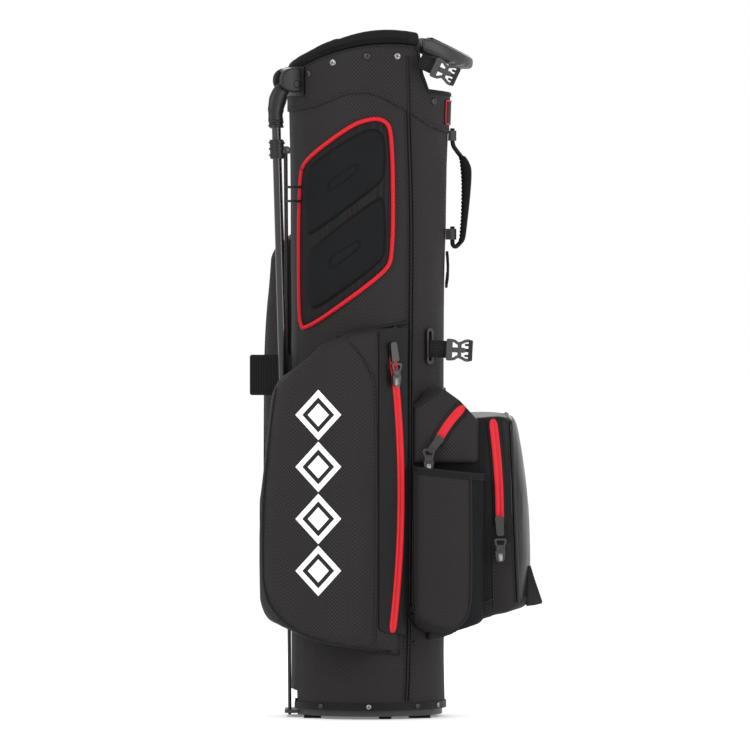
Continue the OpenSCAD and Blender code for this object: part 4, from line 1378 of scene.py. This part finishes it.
pad_piece = pads.make("hip_pad_foam", NEOPRENE, slot="neoprene_black")
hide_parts("hip_pad")
pad_tree = tree_of(pad_piece)
# Groove beads round the pads and their slots: real raised and sunk tubes, given the darker rubber finish as
# painted shade in the creases.
groove_beads_painted_shade, islands = Shape(), Shape()
for outer_line, inner_line in ((UPPER, INNER_UPPER), (LOWER, INNER_LOWER)):
    path, ups = drape([pad_tree], inner_line, NEAR, 3.0, closed=True)
    tube(groove_beads_painted_shade, path, 1.5, 10, ups=ups, loop=True, flat=0.6, lift=-0.3)
    patch(
        islands, [pad_tree], inner_line, NEAR,
        ((0.9, -0.4), (0.86, 0.5), (0.7, 0.8), (0.4, 0.9), (0.05, 0.9)), 60, 0
    )
    path, ups = drape([body_tree], outer_line, NEAR, 3.0, closed=True)
    tube(groove_beads_painted_shade, path, 1.7, 10, ups=ups, loop=True, flat=0.8, lift=1.3)
groove_beads_painted_shade.make("hip_pad_grooves", RUBBER, slot="neoprene_black")
islands.make("hip_pad_islands", NEOPRENE, slot="neoprene_black")


# ---- Legs ----
LEG_HINGE = (-97, 55, 811)
LEG_SPLAY = math.radians(28)
ELBOW_LINE = ((0, 1), (-8, -2.5), (-16, -9), (-21.5, -20), (-24.4, -34), (-24.2, -46), (-23.6, -55))
ELBOW_GIRTH = ((0, 0.60), (0.12, 0.80), (0.2, 1.0), (0.45, 1.12), (0.6, 1.0), (0.72, 0.92), (1, 0.90))


def leg_place(side):
    """Places leg-local millimetres (x outwards is negative, y across, z up) at the leg's hinge."""
    turn = -side * LEG_SPLAY
    c, s = math.cos(turn), math.sin(turn)
    hx, hy, hz = LEG_HINGE

    def place(x, y, z):
        return at(hx + x * c - y * s, side * hy + x * s + y * c, hz + z)

    return place


for name, side in (("near", NEAR), ("far", FAR)):
    place = leg_place(side)
    head = Shape()
    spine = curve_through(upright(ELBOW_LINE), 2.5)
    path = [place(p.x, p.y, p.z) for p in spine]
    n = len(path)
    scale = []
    for k in range(n):
        t = k / (n - 1)
        collars = 0.05 if 0.62 < t < 0.70 or 0.80 < t < 0.88 else 0
        scale.append(table(t, ELBOW_GIRTH) + collars)
    ups = [(place(0, 1, 0) - place(0, 0, 0)).normalized()] * n
    sweep(head, path, [(a * 1.12, b * 0.72) for a, b in ring_profile(9.0, 20)], ups=ups, scale=scale)
    boss = [place(0, y, 0) for y in (-5.9, -5.0, 0, 5.0, 5.9)]
    tube(head, boss, 7.0, 28, scale=[0.86, 1, 1, 1, 0.86])
    for z in (-47.5, -53.5):
        ring = [place(-23.9 + 8.1 * math.cos(a), 8.1 * math.sin(a), z) for a in turns(28)]
        tube(head, ring, 1.5, 10, loop=True)
    piece = head.make(
        "leg_elbow_" + name, BLACK, body="leg_n" if side == NEAR else "leg_f", slot="moulded_black"
    )
    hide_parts("leg_head_" + name)
    hood = Shape()
    profile = [(-16, 13.5), (-14.5, 18), (-6, 21), (8, 20.5), (13.5, 16), (13.5, 8.6), (5, 8.6), (-5, 12.5)]
    outline = resample(soften(level(profile), 1, True), 30, True)
    rows = []
    for y, k in ((-12.5, 0.80), (-11.6, 0.93), (-9, 1.0), (9, 1.0), (11.6, 0.93), (12.5, 0.80)):
        rows.append([place(-3 + (p.x + 3) * k, y, 14.5 + (p.y - 14.5) * k) for p in outline])
    hood.solid(rows)
    cheek = [
        (-21, -3), (-22.5, 6), (-20, 14), (-13, 19.5), (-4, 21), (9, 20), (13, 15), (13, -10), (-6, -10.5),
        (-15, -8)
    ]
    outline = resample(soften(level(cheek), 2, True), 40, True)
    for sign in (-1, 1):
        rows = []
        for y, k in ((7.1, 0.97), (7.5, 1.0), (11.4, 1.0), (12.6, 0.93), (12.9, 0.84)):
            rows.append([place(-3 + (p.x + 3) * k, sign * y, 5 + (p.y - 5) * k) for p in outline])
        hood.solid(rows)
        pin = [place(0, sign * y, 0) for y in (12.0, 12.9, 13.7, 14.0)]
        tube(hood, pin, 5.2, 24, scale=[1, 1, 0.9, 0.6])
    hood.make("leg_hood_" + name, BLACK, slot="moulded_black")

# ---- Grab handle ----
grip = Shape()
GRIP_OUTER = (
    (118, 721), (125, 719), (131.5, 708), (133.2, 696), (131.6, 670), (128, 636), (124.6, 612), (119, 606)
)
GRIP_INNER = (
    (116.4, 719), (117.5, 712), (119.4, 690), (119.6, 670), (118.8, 640), (117, 616), (116.3, 608)
)
count = 150
outer_line = resample(curve_through(upright(GRIP_OUTER), 3.0), count)
inner_line = resample(curve_through(upright(GRIP_INNER), 3.0), count)
rows = []
for k in range(count):
    a, b = outer_line[k], inner_line[k]
    tooth = 1.1 * (0.5 + 0.5 * math.sin(2 * math.pi * 24 * k / count)) if 0.04 < k / count < 0.96 else 0
    middle, half = (a + b) / 2, (a - b).length / 2
    across = (a - b).normalized()
    row = []
    for t in turns(20):
        c, s = math.cos(t), math.sin(t)
        close = min(1.0, (k + 2) / 7, (count + 1 - k) / 7)
        reach = squared(c, 0.7) * half - (tooth if c < -0.2 else 0)
        reach = max(reach, -half)
        p = middle + across * (reach if c > -0.2 else -half + tooth)
        p = p if abs(c) > 0.2 else middle + across * reach
        wide = squared(s, 0.7) * 10.5 * close
        row.append(at(p.x, wide, p.z))
    rows.append(row)
grip.solid(rows)
grip_piece = grip.make("grab_grip", RUBBER, body="handle", slot="rubber_black")
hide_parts("grab_handle")
cords = Shape()
for bend in (
    ((108.5, 755), (108.5, 742), (109.6, 733), (114, 726), (121, 717)),
    ((108.5, 629), (108.5, 614), (109.0, 605.5), (113, 603), (121, 611)),
):
    tube(cords, curve_through([at(x, 0, z) for x, z in bend], 2 * MM), 2.9, 14)
cords.make("grab_cords", BLACK_BRAID, body="handle", slot="rubber_black")

# ---- Straps and buckles ----
for node, body, root, tilt, web, w in (
    ("upper_buckle", "strap_buckle_upper", (66, -96, 841), 25, 20, 20),
    ("mid_buckle", "strap_buckle_mid", (79, -68, 473), 3, 22, 22),
):
    c, s = math.cos(math.radians(tilt)), math.sin(math.radians(tilt))

    def spot(a, b, d, root=root, c=c, s=s):
        return at(root[0] + a * c + b * s, root[1] + d, root[2] - a * s + b * c)

    strap = Shape()
    line = [spot(a, 0, math.sin(a * 0.4) * 0.3) for a in range(0, web + 5)]
    sweep(
        strap, line, strip(w / 2, -0.8, 0.8),
        ups=[Vector((0, -1, 0))] * len(line)
    )
    loop_line = [spot(web - 1 + 2.2 * math.cos(a), 0, 2.4 * math.sin(a)) for a in turns(18)]
    sweep(
        strap, loop_line, strip(w / 2 - 1, -0.5, 0.5),
        loop=True, ups=[Vector((c, 0, -s))] * 18
    )
    piece = strap.make(node + "_webbing", WEB, body=body, slot="liner_fabric")
    stitch = Shape()
    for a in (6, 9):
        row = [spot(a, b, -0.9) for b in range(-w // 2 + 2, w // 2 - 1)]
        stitches(stitch, row, [Vector((0, -1, 0))] * len(row), pitch=3.0, length=2.0, lift=0.1)
    stitch.make(node + "_stitching", PALE_THREAD, body=body, slot="liner_fabric")
    hard = Shape()
    half = w / 2 + 3
    slab(hard, rounded_box(8, 2 * half, 2.4, 4, (web + 3, 0)), spot, -4.2, 4.2)
    slab(hard, rounded_box(19, 6.5, 1.8, 3, (web + 14, 0)), spot, -2.6, 2.6)
    slab(hard, rounded_box(5, 2 * half - 9, 1.6, 3, (web + 16, 0)), spot, -3.4, 3.4)
    for sign in (-1, 1):
        arm = (
            (web + 3, half - 2), (web + 9, half - 2.6), (web + 14, half - 5.6), (web + 19, half - 4.2),
            (web + 24, half - 1.8), (web + 29, half - 1.6)
        )
        arm = curve_through([spot(a, sign * b, 0) for a, b in arm], 1.5 * MM)
        sweep(
            hard, arm, strip(1.9, -3.6, 3.6),
            ups=[Vector((0, -1, 0))] * len(arm)
        )
    frame_piece = hard.make(node + "_frame", BUCKLE, body=body, slot="moulded_grey")
    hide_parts(node)
    bevelled(frame_piece, 0.9)
    tail = Shape()
    slab(tail, rounded_box(5.5, 2 * half - 1, 1.8, 4, (web + 30, 0)), spot, -3.8, 3.8)
    slab(tail, rounded_box(9, 4.5, 1.4, 3, (web + 25, 0)), spot, -2.2, 2.2)
    for sign in (-1, 1):
        slab(tail, rounded_box(7, 3, 1.2, 3, (web + 26, sign * (half - 7))), spot, -2.4, 2.4)
    tail_piece = tail.make(node + "_bar", BLACK, body=body, slot="moulded_black")
    bevelled(tail_piece, 0.7)

# ---- Small cloth parts on the body ----
label = Shape()
angles = [math.atan2(y, 101) for y in (-38, 10)]
box_path = []
for a0, z0, a1, z1 in (
    (angles[0], 760, angles[1], 760), (angles[1], 760, angles[1], 790), (angles[1], 790, angles[0], 790),
    (angles[0], 790, angles[0], 760),
):
    box_path += [body_point(a0 + (a1 - a0) * k / 12, z0 + (z1 - z0) * k / 12, 2.3) for k in range(12)]
tube(label, box_path, 0.9, 8, loop=True)
label.make("label_border", RED_BRAID, slot="piping_red")

towel = Shape()
line = [
    body_point(0.02 * math.sin(k), 554 + k * 3.4, 1.9 + 1.6 * math.sin(math.pi * k / 12)) for k in range(13)
]
sweep(towel, line, strip(9, -1.7, 1.7), ups=[Vector((1, 0, 0))] * 13)
towel.make("towel_loop", WEB, slot="liner_fabric")
towel_threads = Shape()
for z in (557, 592):
    row = [body_point(math.atan2(y, 99), z, 3.8) for y in range(-8, 9, 2)]
    stitches(towel_threads, row, [Vector((1, 0, 0))] * len(row), pitch=3.0, length=2.0)
low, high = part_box("leg_strap")
for z in (low.z + 2.5 * MM, high.z - 2.5 * MM):
    for y, up in ((low.y, -1), (high.y, 1)):
        row = [
            Vector((x, y, z))
            for x in (low.x + 2 * MM + k * (high.x - low.x - 26 * MM) / 12 for k in range(13))
        ]
        stitches(towel_threads, row, [Vector((0, up, 0))] * 13, pitch=3.4, length=2.4, lift=0.1)
towel_threads.make("strap_stitching", PALE_THREAD, slot="liner_fabric")


# ---- CAD parts that stay, with softened edges and finishes ----
def dress(nodes, material, bevel=0.0):
    for node in nodes:
        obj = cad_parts[node]
        obj.data.materials.clear()
        obj.data.materials.append(material)
        if bevel:
            bevelled(obj, bevel).angle_limit = math.radians(40)


dress(["base_cup"], BASE_GREY, 0.8)
dress(["base_feet", "leg_foot_near", "leg_foot_far"], RUBBER, 0.8)
dress(["base_plate"], BASE_GREY, 0.8)
dress(["base_band"], TPU, 0.4)
dress(["top_cuff"], BLACK, 1.0)
dress(["divider_pads"], NEOPRENE, 1.6)
dress(["divider_long", "divider_cross"], LINER)
dress(["stay_rods"], ROD)
dress(["base_hinge_pin", "leg_pins", "rod_pin_near", "rod_pin_far"], GUNMETAL, 0.4)
dress(["leg_bracket", "leg_bumpers", "grab_anchors"], BLACK, 0.8)
dress(["leg_tube_near", "leg_tube_far"], LEG)
dress(["leg_sleeve_near", "leg_sleeve_far"], BLACK, 0.6)
dress(["rod_near", "rod_far"], WIRE)
dress(["leg_strap"], LINER, 0.8)
dress(["near_zip_band", "far_zip_band"], TPU, 0.4)
dress(["near_slider", "far_slider", "ball_slider", "valuables_slider"], GUNMETAL, 0.9)
dress(["near_pull", "far_pull", "ball_pull", "valuables_pull"], GUNMETAL, 0.7)
dress(["label_patch"], RUBBER, 0.6)
dress(["buckle_slot"], GREY, 0.7)

# ---- Stage, light and camera ----
world = bpy.data.worlds.new("studio")
bpy.context.scene.world = world
world.use_nodes = True
world.node_tree.nodes["Background"].inputs[0].default_value = (1, 1, 1, 1)
world.node_tree.nodes["Background"].inputs[1].default_value = 1.0

bpy.ops.mesh.primitive_plane_add(size=40, location=(0, 0, -0.0002))
floor = bpy.context.object
floor.name = "floor"
ground = Finish("white_floor", rough=0.9)
ground.colour(ground.mix(ground.noise(ground.place(False), 2.0), (0.86, 0.86, 0.86), (0.87, 0.87, 0.87)))
ground.shader.inputs["Emission Color"].default_value = (1, 1, 1, 1)
ground.shader.inputs["Emission Strength"].default_value = 0.19
floor.data.materials.append(ground.material)

middle = at(9, 0, 438)


def light(name, place, size, power, aim=middle):
    data = bpy.data.lights.new(name, "AREA")
    data.shape = "RECTANGLE"
    data.size, data.size_y = size
    data.energy = power
    obj = bpy.data.objects.new(name, data)
    bpy.context.scene.collection.objects.link(obj)
    obj.location = place
    obj.rotation_euler = (aim - Vector(place)).to_track_quat("-Z", "Y").to_euler()


light("key", (-1.3, -1.5, 1.5), (0.7, 1.4), 21)
light("fill", (1.5, -1.1, 0.9), (0.5, 1.5), 14)
light("back", (0.2, 1.6, 1.6), (1.4, 1.0), 18)

camera_data = bpy.data.cameras.new("camera")
camera_data.sensor_width = 36
WIDTH = 0.964
DISTANCE = 12.0
camera_data.lens = camera_data.sensor_width * DISTANCE / WIDTH
camera_data.clip_end = 100
camera = bpy.data.objects.new("camera", camera_data)
bpy.context.scene.collection.objects.link(camera)
tilt = math.radians(1.0)
camera.location = middle + Vector((0, -math.cos(tilt), math.sin(tilt))) * DISTANCE
camera.rotation_euler = (middle - camera.location).to_track_quat("-Z", "Y").to_euler()
bpy.context.scene.camera = camera
bpy.context.scene.view_settings.view_transform = "Standard"
